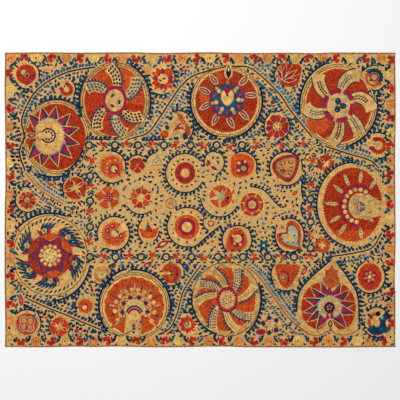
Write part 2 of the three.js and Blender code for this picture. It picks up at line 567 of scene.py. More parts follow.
# %% Feathered star
# A six-pointed star on a red disc, in a wreath of six dark fans and a ring of feathers.
middle = spot(50.3, 255.6)
halo(middle, 32.2, 35.2, gaps=(4.8,))
for out, spread in ((157, 17), (104, 12), (46, 22), (-18, 17), (-90, 17), (-145, 19)):
    ends = around(middle, 26.0, 27.0, out - spread, 2 * spread, step=2.0)
    roots = around(middle, 21.0, 21.0, out - 0.8 * spread, 1.6 * spread, step=2.0)
    fill("indigo", np.vstack((ends, roots[::-1])), grain=out)
    for turn in np.arange(out - spread, out + spread + 1, 6.4):
        fill("indigo", leaf(toward(middle, turn, 24.6), 11.6, 3.0, turn - 20, bend=-46), grain=turn)
    for turn in np.arange(out - 0.7 * spread, out + 0.7 * spread, 9.0):
        line("teal", [toward(middle, turn, 22.0), toward(middle, turn - 3, 26.4)], 0.9)
    for side in (-1, 1):
        start = toward(middle, out + side * (0.9 * spread), 20.6)
        fill("crimson", leaf(start, 9.6, 2.9, out + 1.5 * side * spread), grain=out)
    dot_ring(("wheat", "peach"), toward(middle, out, 25.4), 5, 1.9, 1.4, out)
feathers = 46
for turn in np.arange(feathers) * 360 / feathers:
    angle = math.radians(turn)
    root = middle + (31.6 * math.cos(angle), 34.4 * math.sin(angle))
    fill("indigo", leaf(root, 5.4, 2.2, turn - 38, bend=-26), grain=turn)
fill("brick", toothed(around(middle, 22.0), 1.9, 0.8))
for start, sweep in ((64, 54), (6, 54), (252, 54)):
    fill("orange", wedge(middle, 21.6, 21.6, start, sweep))
tips, valleys = (2, 62, 118, 180, 249, 308), (32, 90, 150, 214, 275, 338)
corners = np.empty((12, 2))
corners[0::2] = [toward(middle, turn, 20.6) for turn in tips]
corners[1::2] = [toward(middle, turn, 13.0) for turn in valleys]
fill("crimson", corners, hub=middle)
line("indigo", evenly(corners, 2.5, closed=True), 1.9, closed=True)
dot_ring(("straw",), middle, 12, 9.4, 2.2)
fill("straw", around(middle, 7.2))
dot_ring(("sky",), middle, 7, 4.2, 0.95)
tell("the feathered star")

# %% [markdown]
# ## Flower rosettes
# Three more are full flowers. The one at the top has almond spokes and a blue scalloped eye round a pale
# heart. The one at the right and the one at the bottom are open on one side, and an arc of cream dots
# goes round their middle. In the one at the right the red steps to orange at a seam.

# %% Top flower
# Eight almond spokes round a scalloped blue eye, with a pale heart in it and a bud above.
middle = spot(226.4, 101.1)
halo(middle, 30.2, 30.4, gaps=(3.4, 5.2))
fill("brick", toothed(around(middle, 30.4, 30.6), 2.1, 1.5))
fill("orange", around(spot(207, 97), 8.5, 6.5))
fill("orange", around(spot(217.5, 77), 6.0, 4.5))
spokes = [(213.5, 79.3, 127), (244, 80.5, 43), (251, 95.2, 0), (244, 114.9, -47), (230.7, 122.4, -60)]
spokes += [(215.4, 119.3, -115), (205.4, 106, -150), (204.8, 90.8, 153)]
for px, py, turn in spokes:
    for thread, length, wide in (
        ("indigo", 16.4, 8.4),
        ("wheat", 15.2, 6.9),
        ("crimson", 11.6, 4.6),
        ("celadon", 8.0, 1.4),
    ):
        petal(thread, toward(spot(px, py), turn, -length / 2), length, wide, turn, blunt=0.62)
eye = spot(227.3, 99.4)
lobes = (88, 49, 19, -3, -33, -63, -90, -118, -140, -165, 164, 134)
for thread, spare in (("crimson", 1.2), ("indigo", 0.0), ("teal", -0.8)):
    for turn in lobes:
        fill(thread, around(toward(eye, turn, 13.4), 4.3 + spare), hub=eye)
    disc(thread, eye, 14.8 + spare)
for k, turn in enumerate(lobes[1:]):
    if k % 2:
        dot("crimson", toward(eye, turn, 13.4), 2.8, 2.5, turn)
        dot("peach", toward(eye, turn, 13.4), 1.0)
    else:
        dot("straw", toward(eye, turn, 11.4), 2.5, 2.3, turn)
        dot("peach", toward(eye, turn, 15.2), 2.3, 2.0, turn)
petal("crimson", toward(eye, 90, 1.0), 13.5, 9.0, 90, blunt=0.7)
heart = [(227.3, 107), (220.9, 101), (220.3, 93), (222.6, 89.2), (227.0, 94.0), (231.6, 88.8)]
heart = spots(heart + [(234.6, 93), (233.8, 101)])
inside = spot(227.3, 97.8)
for thread, share in (("crimson", 1.0), ("straw", 0.87)):
    fill(thread, curve(inside + (heart - inside) * share, closed=True))
dab("crimson", 227.3, 95.4, 1.5)
dab("peach", 227.9, 82.6, 2.2)
bud = spot(228.5, 71.6)
petal("wheat", bud - (0, 8.6), 17, 9.4, 90)
petal("navy", bud - (0, 7.0), 13.6, 5.4, 90)
petal("wheat", bud - (0, 0.2), 4.6, 2.2, 90)
tell("the top flower")

# %% Right flower
# A flower that is open to the right, with pale spokes and an arc of cream dots.
middle = spot(352.6, 204.6)
fill("wheat", around(middle, 34.6, 41.6))
fill("brick", toothed(around(middle, 29.0, 36.4), 2.8, 1.4), grain=0.0)
seam = spot(0, 229.6)[1]
rim = toothed(around(middle, 29.0, 36.4), 2.0, 0.9)
fill("orange", rim[rim[:, 1] < seam], grain=0.0)
line("flame", spots(((344, 171.4), (377, 171.4))), 0.7)
notch = spots(((366, 195), (376, 199), (384, 204), (384, 214), (375, 217), (364, 219)))
fill("wheat", curve(notch, closed=True), grain=0.0)
hub = spot(357.6, 205.6)
spokes = ((360.8, 176.4), (373.4, 183.6), (346.4, 179.6), (338.6, 189.2), (331.6, 203.6))
for px, py in spokes + ((335, 219.2), (342.6, 229.6), (361, 233.6), (369, 217.5), (372, 200.5)):
    out = math.degrees(math.atan2(*(spot(px, py) - hub)[::-1]))
    for thread, length, wide in (("wheat", 13.8, 3.9), ("celadon", 12.4, 2.6)):
        petal(thread, toward(spot(px, py), out, -length / 2), length, wide, out, blunt=0.5)
    for shift in (-4, -1, 2, 5):
        dot("olive", toward(spot(px, py), out, shift), 1.0, 0.5, out + 40)
arc = around(spot(358, 205.6), 15.2, 17.6, 48, 222, step=1.5)
fill("crimson", blade(arc, np.full(len(arc), 4.0)))
fill("wheat", around(spot(359.4, 206), 10.8, 13.0))
for point in evenly(around(spot(358.2, 205.8), 14.0, 16.4, 58, 206), 5.6):
    dot("straw", point, 2.35)
root = spot(359.4, 206.8)
for turn in range(72, 289, 24):
    dot("celadon", toward(root, turn, 9.0), 1.25)
red = curve(spots(((359.4, 201.2), (357.6, 204), (357.4, 208), (359, 212.2))))
for point in evenly(beside(red, -2.2), 1.9):
    dot("teal", point, 0.8)
fill("teal", around(root, 6.4, 5.4, -88, 176), grain=0.0)
for turn in (-52, -18, 18, 52):
    ray("wheat", root, turn, 0.0, 6.6, 0.55)
line("wheat", spots(((359.6, 206.8), (367, 206.8))), 1.1)
line("scarlet", red, 1.8)
line("scarlet", spots(((368, 212.6), (372, 211.8))), 1.2)
dab("teal", 379.4, 208.6, 1.2)
tell("the right flower")

# %% Bottom flower
# A flower that is open downwards, with thin rays and arcs of dots.
middle = spot(134.3, 306)
halo(middle, 29.6, 28.6, gaps=(2.8, 4.8))
fill("orange", toothed(around(middle, 29.2, 28.4), 9.6, 1.2), hub=middle)
hub = spot(134.8, 309.5)
neck = spots(((124.0, 336), (125.5, 318), (128, 311), (141.5, 311), (141, 320), (141.8, 336)))
fill("wheat", neck)
turns = [-142, -166, 170, 148, 127, 108, 90, 72, 52, 30, 10, -16, -38]
for k, turn in enumerate(turns):
    petal(("celadon", "indigo")[k % 2], toward(hub, turn, 19.0), 8.5, 1.7, turn)
    dot("crimson", toward(hub, turn, 31.5 - 4 * abs(math.sin(math.radians(turn - 90)))), 1.15)
for turn in (-148, -176, 158, 137, 117, 98, 80, 61, 40, 20, -8, -34):
    dot("straw", toward(hub, turn, 20.0), 2.45)
arc = around(hub, 12.8, 13.2, -32, 244, step=1.6)
fill("wheat", blade(arc, np.full(len(arc), 4.2)), hub=hub)
net = [toward(hub, turn, (15.2, 16.8)[k % 2]) for k, turn in enumerate(range(-30, 214, 9))]
line("crimson", net, 0.8)
for k, turn in enumerate(np.linspace(-30, 212, 13)):
    if k % 2:
        dot("crimson", toward(hub, turn, 12.8), 2.6, 2.5, turn)
        dot("indigo", toward(hub, turn, 12.6), 1.8, 1.7, turn)
    else:
        dot("crimson", toward(hub, turn, 12.8), 2.5, 2.2, turn)
        dot("straw", toward(hub, turn, 12.8), 1.8, 1.5, turn)
disc("wheat", hub, 9.2, 9.4)
for turn in (150, 120, 90, 60, 30):
    dot("celadon", toward(hub, turn, 8.0), 1.2)
line("indigo", around(spot(134.4, 314.0), 7.9, 7.8, 12, 156), 2.4)
line("crimson", around(spot(134.4, 314.4), 5.6, 5.4, 4, 172), 3.2)
for px, py, thread, r in (
    (133.8, 325.6, "crimson", 2.0),
    (133.8, 328.6, "indigo", 1.6),
    (133.6, 332.4, "indigo", 1.5),
    (141, 322, "teal", 1.6),
    (139.8, 329, "teal", 1.2),
    (136.6, 321, "crimson", 1.0),
):
    dab(thread, px, py, r)
tell("the bottom flower")

# %% [markdown]
# ## Smaller flowers
# Between the rosettes and all over the middle field sit smaller flowers, no two alike: combs and rayed
# suns, rings, whorls of wedge petals, open horseshoes, hearts and combed squares. A handful of functions
# draw them, and each call below says where one sits and how large it is.


# %% Suns and whorls
def sun(px, py, r, thread, pitch, depth, core=(), turn=0.0):
    """A disc with a toothed rim, and discs of other silks on it: (thread, share of r, shift along turn)."""
    middle = spot(px, py)
    disc("wheat", middle, r + 1.6)
    fill(thread, toothed(around(middle, r - depth), pitch, depth), grain=turn)
    for name, share, shift in core:
        fill(name, around(toward(middle, turn, shift * r), r * share), hub=middle)
    return middle


def whorl(px, py, r, petals, threads, turn, inner, wide):
    """Broad round-ended petals about a middle. threads take turns from petal to petal."""
    middle = spot(px, py)
    disc("wheat", middle, r + 1.4)
    half = wide * 180 / petals
    for k in range(petals):
        heading = turn + 360 / petals * k
        across = np.linspace(-1, 1, 7)
        outline = [toward(middle, heading + half * u, r * (1.02 - 0.12 * u * u)) for u in across]
        outline += [toward(middle, heading + half * u, r * inner) for u in (1, -1)]
        fill(threads[k % len(threads)], outline, grain=heading + 90)
    return middle


# %% Round flowers
def pie(px, py, r, thread, turns, core="crimson"):
    """A round flower cut by pale petals, each with a dab of another silk in it."""
    middle = spot(px, py)
    disc("wheat", middle, r + 1.5)
    fill(thread, toothed(around(middle, r - 0.6), 2.6, 0.8), hub=middle)
    for turn in turns:
        petal("wheat", toward(middle, turn, -0.06 * r), r * 1.08, r * 0.36, turn, blunt=0.7)
        if core:
            petal(core, toward(middle, turn, r * 0.36), r * 0.52, r * 0.24, turn, blunt=0.8)
    return middle


def horseshoe(px, py, r, opening, threads=("brick", "crimson"), pitch=2.2, depth=1.5, gap=58, hole=0.45):
    """A thick open ring with an outer row of teeth and pale ground within. Its ends are in a second silk."""
    middle = spot(px, py)
    disc("wheat", middle, r + 1.5)
    ring = toothed(around(middle, r - depth), pitch, depth)
    turns = np.degrees(np.arctan2(*(ring - middle).T[::-1]))
    keep = np.abs((turns - opening + 180) % 360 - 180) > gap / 2
    order = (np.argmin(keep) + np.arange(len(ring))) % len(ring)
    outer = ring[order][keep[order]]
    inner = around(middle, r * hole, None, opening + gap / 2, 360 - gap)
    fill(threads[0], np.vstack((outer, inner[::-1])), hub=middle)
    disc("wheat", middle, r * hole)
    for side in (-1, 1):
        dot(threads[1], toward(middle, opening + side * (gap / 2 + 14), r * 0.74), r * 0.3, r * 0.24)
    return middle


def bullseye(px, py, rings, count=0, reach=0.0, dot_thread="teal", squash=1.0):
    """Rings of silk inside one another, with loose dots round them."""
    middle = spot(px, py)
    disc("wheat", middle, max(rings[0][1] + 1.5, reach + 1.6))
    for thread, r in rings:
        disc(thread, middle, r, r * squash)
    for k in range(count):
        dot(dot_thread, toward(middle, 360 / count * k + 8, reach), 1.35, 1.1, 40 * k)
    return middle


# %% Ringlets, buds and bands
def ringlet(px, py, r, heart, dotted=False):
    """The little blue ring of the inner border, or a ring of dots in its place."""
    middle = spot(px, py)
    if dotted:
        dot_ring(("navy", "sky"), middle, 8, r * 0.8, 1.0, 20)
    else:
        fill("indigo", around(middle, r, step=1.0), hub=middle)
        dot_ring(("teal", "navy"), middle, 4, r * 0.72, 0.85, 45)
        dot("wheat", middle, r * 0.6)
    dot(heart, middle, r * 0.32)


def almond(px, py, length, wide, turn, threads=("crimson", "wheat")):
    """A bud: an almond in one silk with a smaller one in it."""
    middle = spot(px, py)
    petal(threads[0], toward(middle, turn, -length / 2), length, wide, turn)
    if len(threads) > 1:
        petal(threads[1], toward(middle, turn, -length / 4), length / 2, wide / 2.2, turn)


def band_round(places, width, thread, lining, inside):
    """A closed shape with a band of one silk along its edge, a thin lining and a third silk inside."""
    shape = rounded(places)
    shape = evenly(shape if area_of(shape) > 0 else shape[::-1], 1.4, closed=True)
    heart = shape.mean(axis=0)
    reach = np.linalg.norm(shape - heart, axis=1).mean()
    for name, inset in ((thread, 0.0), (lining, width), (inside, width + 0.8)):
        fill(name, heart + (shape - heart) * (1 - inset / reach))


# %% [markdown]
# The flowers in the wide border between the two narrow ones come next, from the top left corner round to
# the right and then along the bottom. Most have a few dabs of other silk in them, which follow each call.

# %% Top border, left of the middle
sun(26.2, 74.4, 10.6, "brick", pitch=2.6, depth=0.9)
for px, py, r, thread in (
    (32.4, 76.4, 3.4, "crimson"), (27, 83, 3.0, "crimson"), (23.4, 72.2, 3.0, "celadon"),
    (27, 75.4, 2.9, "wheat"), (27, 75.6, 2.2, "indigo"),
):
    dab(thread, px, py, r, r * 0.75, 60)
almond(16.9, 66.4, 5.4, 2.6, 130, ("crimson",))
almond(50.2, 68.2, 17, 5.0, 16, ("peach", "celadon"))
almond(44, 65.2, 6.4, 2.6, 20, ("indigo",))
almond(47, 73, 6.0, 2.4, -8, ("indigo",))
horseshoe(66.6, 89.4, 7.8, 128, hole=0.36)
dab("indigo", 64.4, 86.6, 1.2)

hub = spot(163, 79)
disc("wheat", hub, 12.6, 13.4)
for k in range(13):
    turn = 360 / 13 * k + 10
    reach = 11.2 + 1.6 * math.cos(math.radians(4 * turn + 180))
    thread = ("crimson", "scarlet", "orange")[k % 3]
    petal(thread, toward(hub, turn, 4.6), reach - 3.4, 5.0, turn, blunt=0.7)
petal("orange", spot(166.6, 74.6), 8.5, 4.6, 50)
for px, py, turn in (
    (159, 74.4, 70), (164, 78.6, 20), (158, 83.8, 12), (163, 85, -10), (160.4, 80.4, -30),
):
    dab("indigo", px, py, 1.9, 1.1, turn)
for turn in (60, 90, 125):
    petal("peach", spot(147.4, 74.6), 9.4, 3.4, turn)
for px, py, thread, r in (
    (181, 69.4, "crimson", 2.2), (184, 67, "crimson", 1.9), (183.4, 70.6, "sky", 1.2),
    (188, 67, "scarlet", 1.8),
):
    dab(thread, px, py, r, r * 0.8, 30)

bud = [(178, 112), (187, 120), (190.4, 133), (182, 141), (168, 139), (168, 123)]
fill("wheat", rounded(bud))
for px, py, rx, ry, turn, thread in (
    (181.4, 118.8, 7.0, 2.6, -58, "orange"),
    (187.4, 130.0, 6.4, 3.4, -75, "orange"),
    (164.6, 134.2, 4.6, 4.2, 10, "orange"),
    (171, 118.4, 2.6, 2.1, 45, "indigo"),
    (167.2, 127.4, 2.8, 2.3, -50, "indigo"),
    (176.2, 138.2, 3.0, 2.1, 0, "indigo"),
    (185.2, 136.0, 2.8, 3.6, 20, "indigo"),
):
    dab(thread, px, py, rx, ry, turn)
tulip = ((172.6, 131), (180, 122), (181.6, 126), (184.6, 129.4), (178.6, 129.4))
fill("crimson", spots(tulip), grain=0.0)
dab("straw", 180.4, 126, 1.4)
for point in evenly(around(spot(177, 127), 7.6, 9.6), 2.6):
    dot("celadon", point, 0.8)
tell("the left half of the top border")

# %% Top border, right of the middle
root = spot(282.6, 81)
fan = [(281, 64.5), (289, 64), (300.6, 66), (300, 76), (296.5, 84.5), (286, 86), (278, 76.5)]
fill("brick", toothed(rounded(fan), 2.2, 0.9), grain=60.0)
for turn, reach in ((112, 15), (78, 18), (38, 19), (6, 15)):
    petal("wheat", root, reach, 5.2, turn)
    petal("crimson", toward(root, turn, 2.0), reach - 3.2, 3.7, turn)
for turn in (96, 58, 22):
    ray("wheat", root, turn, 4, 19, 0.6)
ray("indigo", root, 52, -5, 4, 1.3)
almond(283.2, 86.4, 6.0, 3.2, -58, ("indigo",))

hub = whorl(277.4, 126.6, 11.6, 10, ("brick", "crimson"), turn=12, inner=0.36, wide=0.95)
dots("brick", ((268.8, 135.2), (274.2, 117.2), (285.6, 126.6)), 3.2, 2.7)
dot("wheat", hub, 4.8)
dot_ring(("navy",), hub, 5, 2.6, 0.9, 30)
dab("crimson", 273, 102, 2.9, 2.4, 30)
dab("indigo", 273, 102.2, 1.4)
almond(269, 96, 4.6, 2.0, -60, ("crimson",))

hub = horseshoe(374.2, 77.2, 9.8, -128, ("indigo", "orange"), pitch=3.4, depth=1.2, gap=110, hole=0.5)
line("orange", around(hub, 8.0, 8.4, 160, 130), 2.4)
dab("teal", 368.5, 70.6, 3.4, 1.6, 20)
dot("crimson", hub, 5.0)
dot("wheat", hub, 3.4)
dot_ring(("crimson",), hub, 5, 3.6, 1.0, 90)
dab("navy", 370.6, 80.2, 1.6, 0.9, 35)
horseshoe(378.4, 145.6, 9.6, 158, pitch=2.4, depth=1.6)
dab("indigo", 374, 144, 1.0)

pie(325.6, 163.2, 8.8, "brick", (28, -112, 142, -42))
almond(322.4, 160.6, 4.4, 1.8, -42, ("indigo",))
tell("the right half of the top border")

# %% Left border
pie(75.4, 188.2, 11.4, "brick", (36, 118, 196, -54))
almond(72, 184, 5.6, 2.2, -58, ("indigo",))
almond(79.8, 203.8, 7.0, 2.8, -58, ("crimson",))
almond(51.2, 184.6, 7.2, 3.6, -10, ("scarlet",))

hub = whorl(27.2, 200.2, 8.6, 10, ("orange", "crimson"), turn=12, inner=0.38, wide=0.97)
line("navy", around(hub, 3.5), 1.1, closed=True)
dot("peach", hub, 2.8)
petal("scarlet", toward(hub, -65, 3.0), 7.2, 3.0, -65)
for px, py in ((18, 178), (18.5, 216)):
    dab("aubergine", px, py, 2.0)
    dab("sky", px, py, 0.9)
tell("the left border")

# %% Bottom left corner
hub = sun(27, 324, 12.0, "scarlet", pitch=2.0, depth=1.8)
for thread, r in (("celadon", 4.9), ("crimson", 3.9), ("peach", 2.9)):
    for k in range(4):
        fill(thread, around(toward(hub, 90 * k + 40, 4.3), r), hub=hub)
almond(34.2, 315.6, 6.0, 2.6, 52, ("teal",))
dab("crimson", 26.6, 327.2, 1.2, 2.2)
almond(21, 299.8, 13, 5.0, 96, ("crimson", "wheat"))
dab("crimson", 21, 300, 0.7, 2.6)

pie(59.2, 327, 9.8, "scarlet", (62, 152, -22, -112))
core = (("crimson", 0.42, 0.12), ("wheat", 0.3, 0.2))
sun(85.4, 306, 8.6, "orange", pitch=2.3, depth=2.2, core=core, turn=-120)
almond(92, 290, 5.6, 3.4, 100, ("crimson",))
dab("crimson", 76.6, 331, 2.4)
dab("scarlet", 76.6, 331, 1.4)
dab("scarlet", 82, 331, 1.2)
dab("scarlet", 46, 317.6, 1.8, 1.4)
tell("the bottom left corner")

# %% Bottom border, left of the middle
core = (("wheat", 0.5, 0), ("celadon", 0.32, 0), ("wheat", 0.22, 0))
hub = sun(101.6, 274.2, 8.6, "peach", pitch=2.2, depth=0.7, core=core)
dot("indigo", hub, 0.9)
hub = sun(171.3, 273.2, 10.4, "orange", pitch=2.0, depth=0.6)
fill("wheat", blade(np.array((toward(hub, 178, 10.6), toward(hub, 178, 0))), (1.9, 1.2)), grain=0.0)
line("crimson", around(hub + (1.4, 0), 4.6, 6.6, -75, 150), 2.6)
for dx, dy in ((0, 1.4), (0, -1.6), (5.6, -0.8)):
    dot("indigo", hub + (dx, dy), 1.7, 1.3)
almond(161.2, 271.6, 4.2, 2.2, 0, ("crimson",))
hub = sun(187.6, 324.4, 9.2, "scarlet", pitch=2.8, depth=2.4, core=(("wheat", 0.42, 0),))
for k in range(8):
    petal("crimson", toward(hub, 45 * k, 5.2), 5.0, 1.9, 45 * k)
ringlet(186.6, 323.4, 2.5, "wheat")
almond(147.4, 265.4, 9.0, 6.0, 10, ("crimson", "celadon"))
almond(113.4, 265.4, 7.0, 5.0, 60, ("indigo", "crimson"))
tell("the left half of the bottom border")

# %% Bottom border, right of the middle
comma = [(276, 266), (286, 264.6), (299, 266.4), (294, 280), (287, 288), (280.8, 284), (277.6, 275)]
under = [(274, 264), (300, 264), (297, 284), (286, 290.5), (275, 284)]
fill("wheat", rounded(under), grain=60.0)
fill("orange", toothed(rounded(comma), 2.6, 1.0), grain=60.0)
line("crimson", curve(spots(((280, 272), (284.6, 271), (288.4, 275), (288.6, 281), (286, 285)))), 2.2)
dab("wheat", 283.2, 277.6, 3.4)
ringlet(283.2, 277.6, 2.7, "wheat")
almond(304.6, 270.6, 12, 4.4, 56, ("crimson", "wheat"))
line("crimson", spots(((301, 276.5), (297.4, 281.6))), 1.4)

scroll = spot(270.4, 325.2)
disc("wheat", scroll, 11.4, 10.2)
for turn in (100, 40, -40, -100, 165):
    petal("crimson", scroll, 10.4, 7.2, turn, blunt=0.6)
    petal("wheat", scroll, 8.8, 5.4, turn, blunt=0.6)
    dot("indigo", toward(scroll, turn, 7.6), 2.8, 2.2, turn)
dots("celadon", ((272.6, 320.4), (272, 328), (268, 325.4)), 1.9, 1.5, 60)
fill("crimson", toothed(around(spot(260.8, 332), 4.6, 2.6), 2.2, 1.2), grain=0.0)
almond(292.4, 332.6, 7.0, 2.4, -4, ("crimson",))
almond(265, 266.2, 6.6, 3.6, 0, ("indigo", "crimson"))
tell("the right half of the bottom border")

# %% Bottom right corner
pie(322.2, 245.2, 8.4, "orange", (0, 88, 178, -92))
hub = bullseye(369.8, 276.8, (("flame", 12.2), ("scarlet", 11.0), ("crimson", 6.8)), squash=1.14)
for k in range(6):
    dot("peach", toward(hub, 60 * k + 20, 4.2), 1.9, 1.5, 60 * k)
dot("straw", hub, 2.2)
dot_ring(("navy",), hub, 3, 2.4, 0.7, 50)
ringlet(370.7, 300.6, 3.0, "wheat")
almond(381.6, 300.2, 4.6, 2.4, 0, ("scarlet",))

hub = spot(376.8, 322.4)
disc("wheat", hub, 10.4, 12.6)
line("orange", around(hub, 7.6, 8.6, 80, 150), 4.6)
arc = around(hub, 7.4, 8.8, -150, 200)
fill("crimson", blade(arc, np.full(len(arc), 4.4)), hub=hub)
fill("indigo", blade(arc, np.full(len(arc), 3.7)), hub=hub)
for k in range(5):
    dot(("teal", "indigo")[k % 2], toward(hub, 42 * k - 140, 8.0), 2.2)
dab("navy", 378, 313.8, 2.7)
dab("celadon", 381.8, 317, 1.7, 2.6, 30)
almond(370.2, 316.2, 8.0, 3.4, -40, ("indigo", "crimson"))
tell("the bottom right corner")

# %% [markdown]
# ## The middle field
# Inside the inner border about twenty more flowers lie in loose rows. Dark leafy stems half enclose most
# of them.

# %% Upper row of the field
core = (("crimson", 0.4, 0.26), ("wheat", 0.27, 0.26))
sun(111.8, 166.6, 13.0, "orange", pitch=2.3, depth=2.8, core=core, turn=-45)
spray = ((110, 161.2), (115.6, 160.2), (107.6, 163.8), (107, 168), (106.6, 171.6), (120, 161.6))
dots("celadon", spray, 1.2, 1.0)
dab("indigo", 115.8, 170.4, 1.9, 1.2, -35)
petal("scarlet", spot(116.6, 172.8), 6.0, 2.8, -40)
hub = whorl(137.2, 165.2, 7.8, 5, ("brick",), turn=60, inner=0.12, wide=0.94)
for turn in (95, 170, 20):
    petal("crimson", toward(hub, turn, 2.0), 5.4, 1.9, turn)
for point in evenly(spots(((152, 165.5), (157.6, 154.4), (162.6, 165), (152, 165.5))), 2.2):
    dot("teal", point, 0.65)
dots("sky", ((156, 162.4), (158.4, 160.6), (157.4, 157.6)), 0.9)
rings = (("brick", 10.4), ("crimson", 8.6), ("brick", 6.2), ("peach", 4.6), ("wheat", 4.0))
bullseye(185, 173, rings, count=16, reach=13.6, dot_thread="indigo", squash=1.06)
almond(208.8, 162.6, 7.0, 3.2, -64, ("crimson",))
almond(214.2, 168.2, 8.4, 3.4, -30, ("crimson",))
dab("orange", 207.4, 164.4, 2.0, 2.4)
dab("celadon", 212.6, 163.6, 1.0, 2.0)
square = [(232.4, 157), (241, 154.6), (251.6, 158.4), (252.6, 170), (243, 176.4), (232.6, 174)]
fill("orange", toothed(rounded(square), 2.3, 2.0), grain=0.0)
oval("brick", 242.6, 172.6, 7.0, 2.6)
oval("crimson", 242.4, 166.6, 6.6)
dots("straw", ((239, 163), (245.2, 161.8), (238.6, 170.4)), 1.7)
dab("indigo", 243.6, 168.4, 4.3)
dab("peach", 243.6, 168.4, 3.0)
pear = [(299, 155.6), (284, 155.6), (273, 162), (273.6, 172), (283, 180.4), (290, 182), (297, 172)]
band_round(pear, 3.6, "brick", "sky", "peach")
for bow in (((279, 168), (283, 163.6), (291, 162)), ((291.4, 163.6), (291, 171), (287.6, 177.6))):
    for k, point in enumerate(evenly(curve(spots(bow)), 1.9)):
        dot(("crimson", "straw")[k % 2], point, 1.15)
dots("indigo", ((281, 170.4), (283.4, 170), (282.6, 173), (284.6, 171.6)), 1.2)
almond(278.4, 177, 5.0, 2.4, 50, ("scarlet", "teal"))
tell("the field's upper row")

# %% Middle row of the field
hub = whorl(108.4, 197.4, 11.4, 5, ("orange",), turn=98, inner=0.2, wide=0.92)
for turn in range(62, 422, 72):
    petal("celadon", toward(hub, turn, 3.6), 6.6, 2.0, turn)
dot("crimson", hub, 4.7)
dot_ring(("peach",), hub, 8, 2.9, 0.85)
dot("straw", hub, 1.2)
fill("crimson", spots(((123.4, 187.6), (127, 184.6), (125.6, 189.4))), grain=0.0)
dab("teal", 123.6, 189.6, 1.4)
hub = whorl(140.8, 197.8, 10.0, 7, ("brick", "orange", "scarlet"), turn=108, inner=0.4, wide=0.9)
for k in range(7):
    turn = 128 + 51.4 * k
    petal("indigo", toward(toward(hub, turn + 6, 10.6), turn, -2.1), 4.2, 1.8, turn)
dot("wheat", hub, 4.4)
line("navy", around(spot(171, 203.4), 5.0), 0.7, closed=True)
dab("peach", 171, 203.4, 3.6)
hub = pie(221, 196.4, 11.6, "orange", (140, 195, 262, 60), None)
for turn in (62, -38, -80):
    petal("crimson", toward(hub, turn, 4.5), 6.2, 2.4, turn)
dot("celadon", hub, 4.4)
dot("wheat", hub, 2.8)
dab("navy", 228, 198, 1.7)
rings = (("brick", 11.4), ("flame", 9.4), ("crimson", 6.8), ("wheat", 4.0))
hub = bullseye(252, 204.6, rings, squash=1.04)
for k in range(7):
    turn = 51.4 * k + 15
    petal("wheat", toward(hub, turn, 7.0), 4.8, 1.8, turn)
dot("peach", hub, 2.0)
almond(233.4, 191.6, 6.0, 2.4, 75, ("scarlet", "sky"))
almond(233, 201.6, 3.6, 2.0, 60, ("scarlet",))
almond(295, 193, 8.0, 4.0, 38, ("scarlet", "peach"))
almond(293.4, 206, 3.4, 2.6, 90, ("orange",))
almond(297.4, 212.4, 4.4, 3.0, 70, ("scarlet",))
dab("sky", 293.8, 210.8, 1.3)
tell("the field's middle row")

# %% Lower row of the field
hub = sun(114.2, 233.8, 13.4, "orange", pitch=2.4, depth=2.4)
fill("wheat", blade(np.array((toward(hub, 35, 14), toward(hub, 35, 1))), (4.4, 2.2)), grain=35.0)
for px, py in ((107.4, 230.8), (107.6, 238), (112, 226), (117, 239.6), (121, 236)):
    dab("crimson", px, py, 2.4)
    dab("celadon", px, py, 1.3)
dab("wheat", 114.6, 233.4, 4.0)
oval("teal", 116.2, 231.8, 2.9, 2.0)
root = spot(149, 238.6)
petal("orange", root, 15, 5.6, 134)
petal("orange", root, 15, 6.6, 50)
petal("brick", root, 13, 10.0, 90)
petal("crimson", root, 19, 2.6, 94)
oval("orange", 149, 235, 8.0, 3.4)
dab("teal", 147.2, 227, 0.9, 2.4, 20)
almond(163, 244, 15, 6.6, 28, ("crimson", "wheat"))
dab("crimson", 156.2, 247.8, 2.2, 1.0, 20)
bullseye(187, 227, (("orange", 12.4), ("crimson", 8.8), ("wheat", 5.2)), count=11, reach=15.2)
dab("peach", 187, 227, 1.4)
dab("crimson", 211, 223.6, 3.7, 3.4)
dab("wheat", 211, 223.6, 2.6, 2.3)
for px, py, thread in (
    (207.6, 243.4, "crimson"), (212.4, 241.4, "scarlet"), (209, 246.4, "celadon"), (212, 249.4, "teal"),
    (214.6, 247, "scarlet"),
):
    dab(thread, px, py, 1.9, 1.3, 20)
rhomb = [(231.6, 230.6), (240, 229.4), (246, 238), (244.6, 247.4), (236, 250.4), (226.6, 248)]
fill("orange", toothed(rounded(rhomb), 2.3, 2.0), grain=0.0)
oval("crimson", 237, 240, 7.0, 7.4)
oval("wheat", 237.6, 238.6, 4.2)
dots("straw", ((233.4, 236), (234.4, 243.6), (240.4, 244.6)), 1.5)
dab("navy", 242.6, 235, 1.8, 1.0, 20)
eye = spot(263.8, 245.6)
for k in range(6):
    dot(("indigo", "teal")[k % 2], toward(eye, 60 * k, 3.9), 2.9, 1.9, 60 * k)
for k in range(12):
    dot("navy", toward(eye, 30 * k + 10, 8.2), 1.7, 1.0, 30 * k + 60)
dot("crimson", toward(eye, 48, 5.2), 1.4, 0.8, 48)
valentine = [(286.1, 231.8), (286.6, 223.8), (291.8, 220.4), (299.4, 226), (301.2, 238.1), (300.3, 245)]
valentine += [(302.3, 251.4), (292.3, 249.5), (281, 245), (276.3, 236.3), (279.3, 232.9)]
band_round(valentine, 3.0, "orange", "crimson", "celadon")
fill("wheat", around(spot(289, 237), 4.6, 3.6))
dots("crimson", ((294.4, 235.4), (293.4, 242.6), (287.8, 242.2), (282, 239)), 1.2)
line("crimson", spots(((287, 227), (286.6, 232.6), (280.6, 233.6))), 1.5)
almond(282.6, 227.6, 5.0, 3.0, -50, ("scarlet",))
tell("the field's lower row")

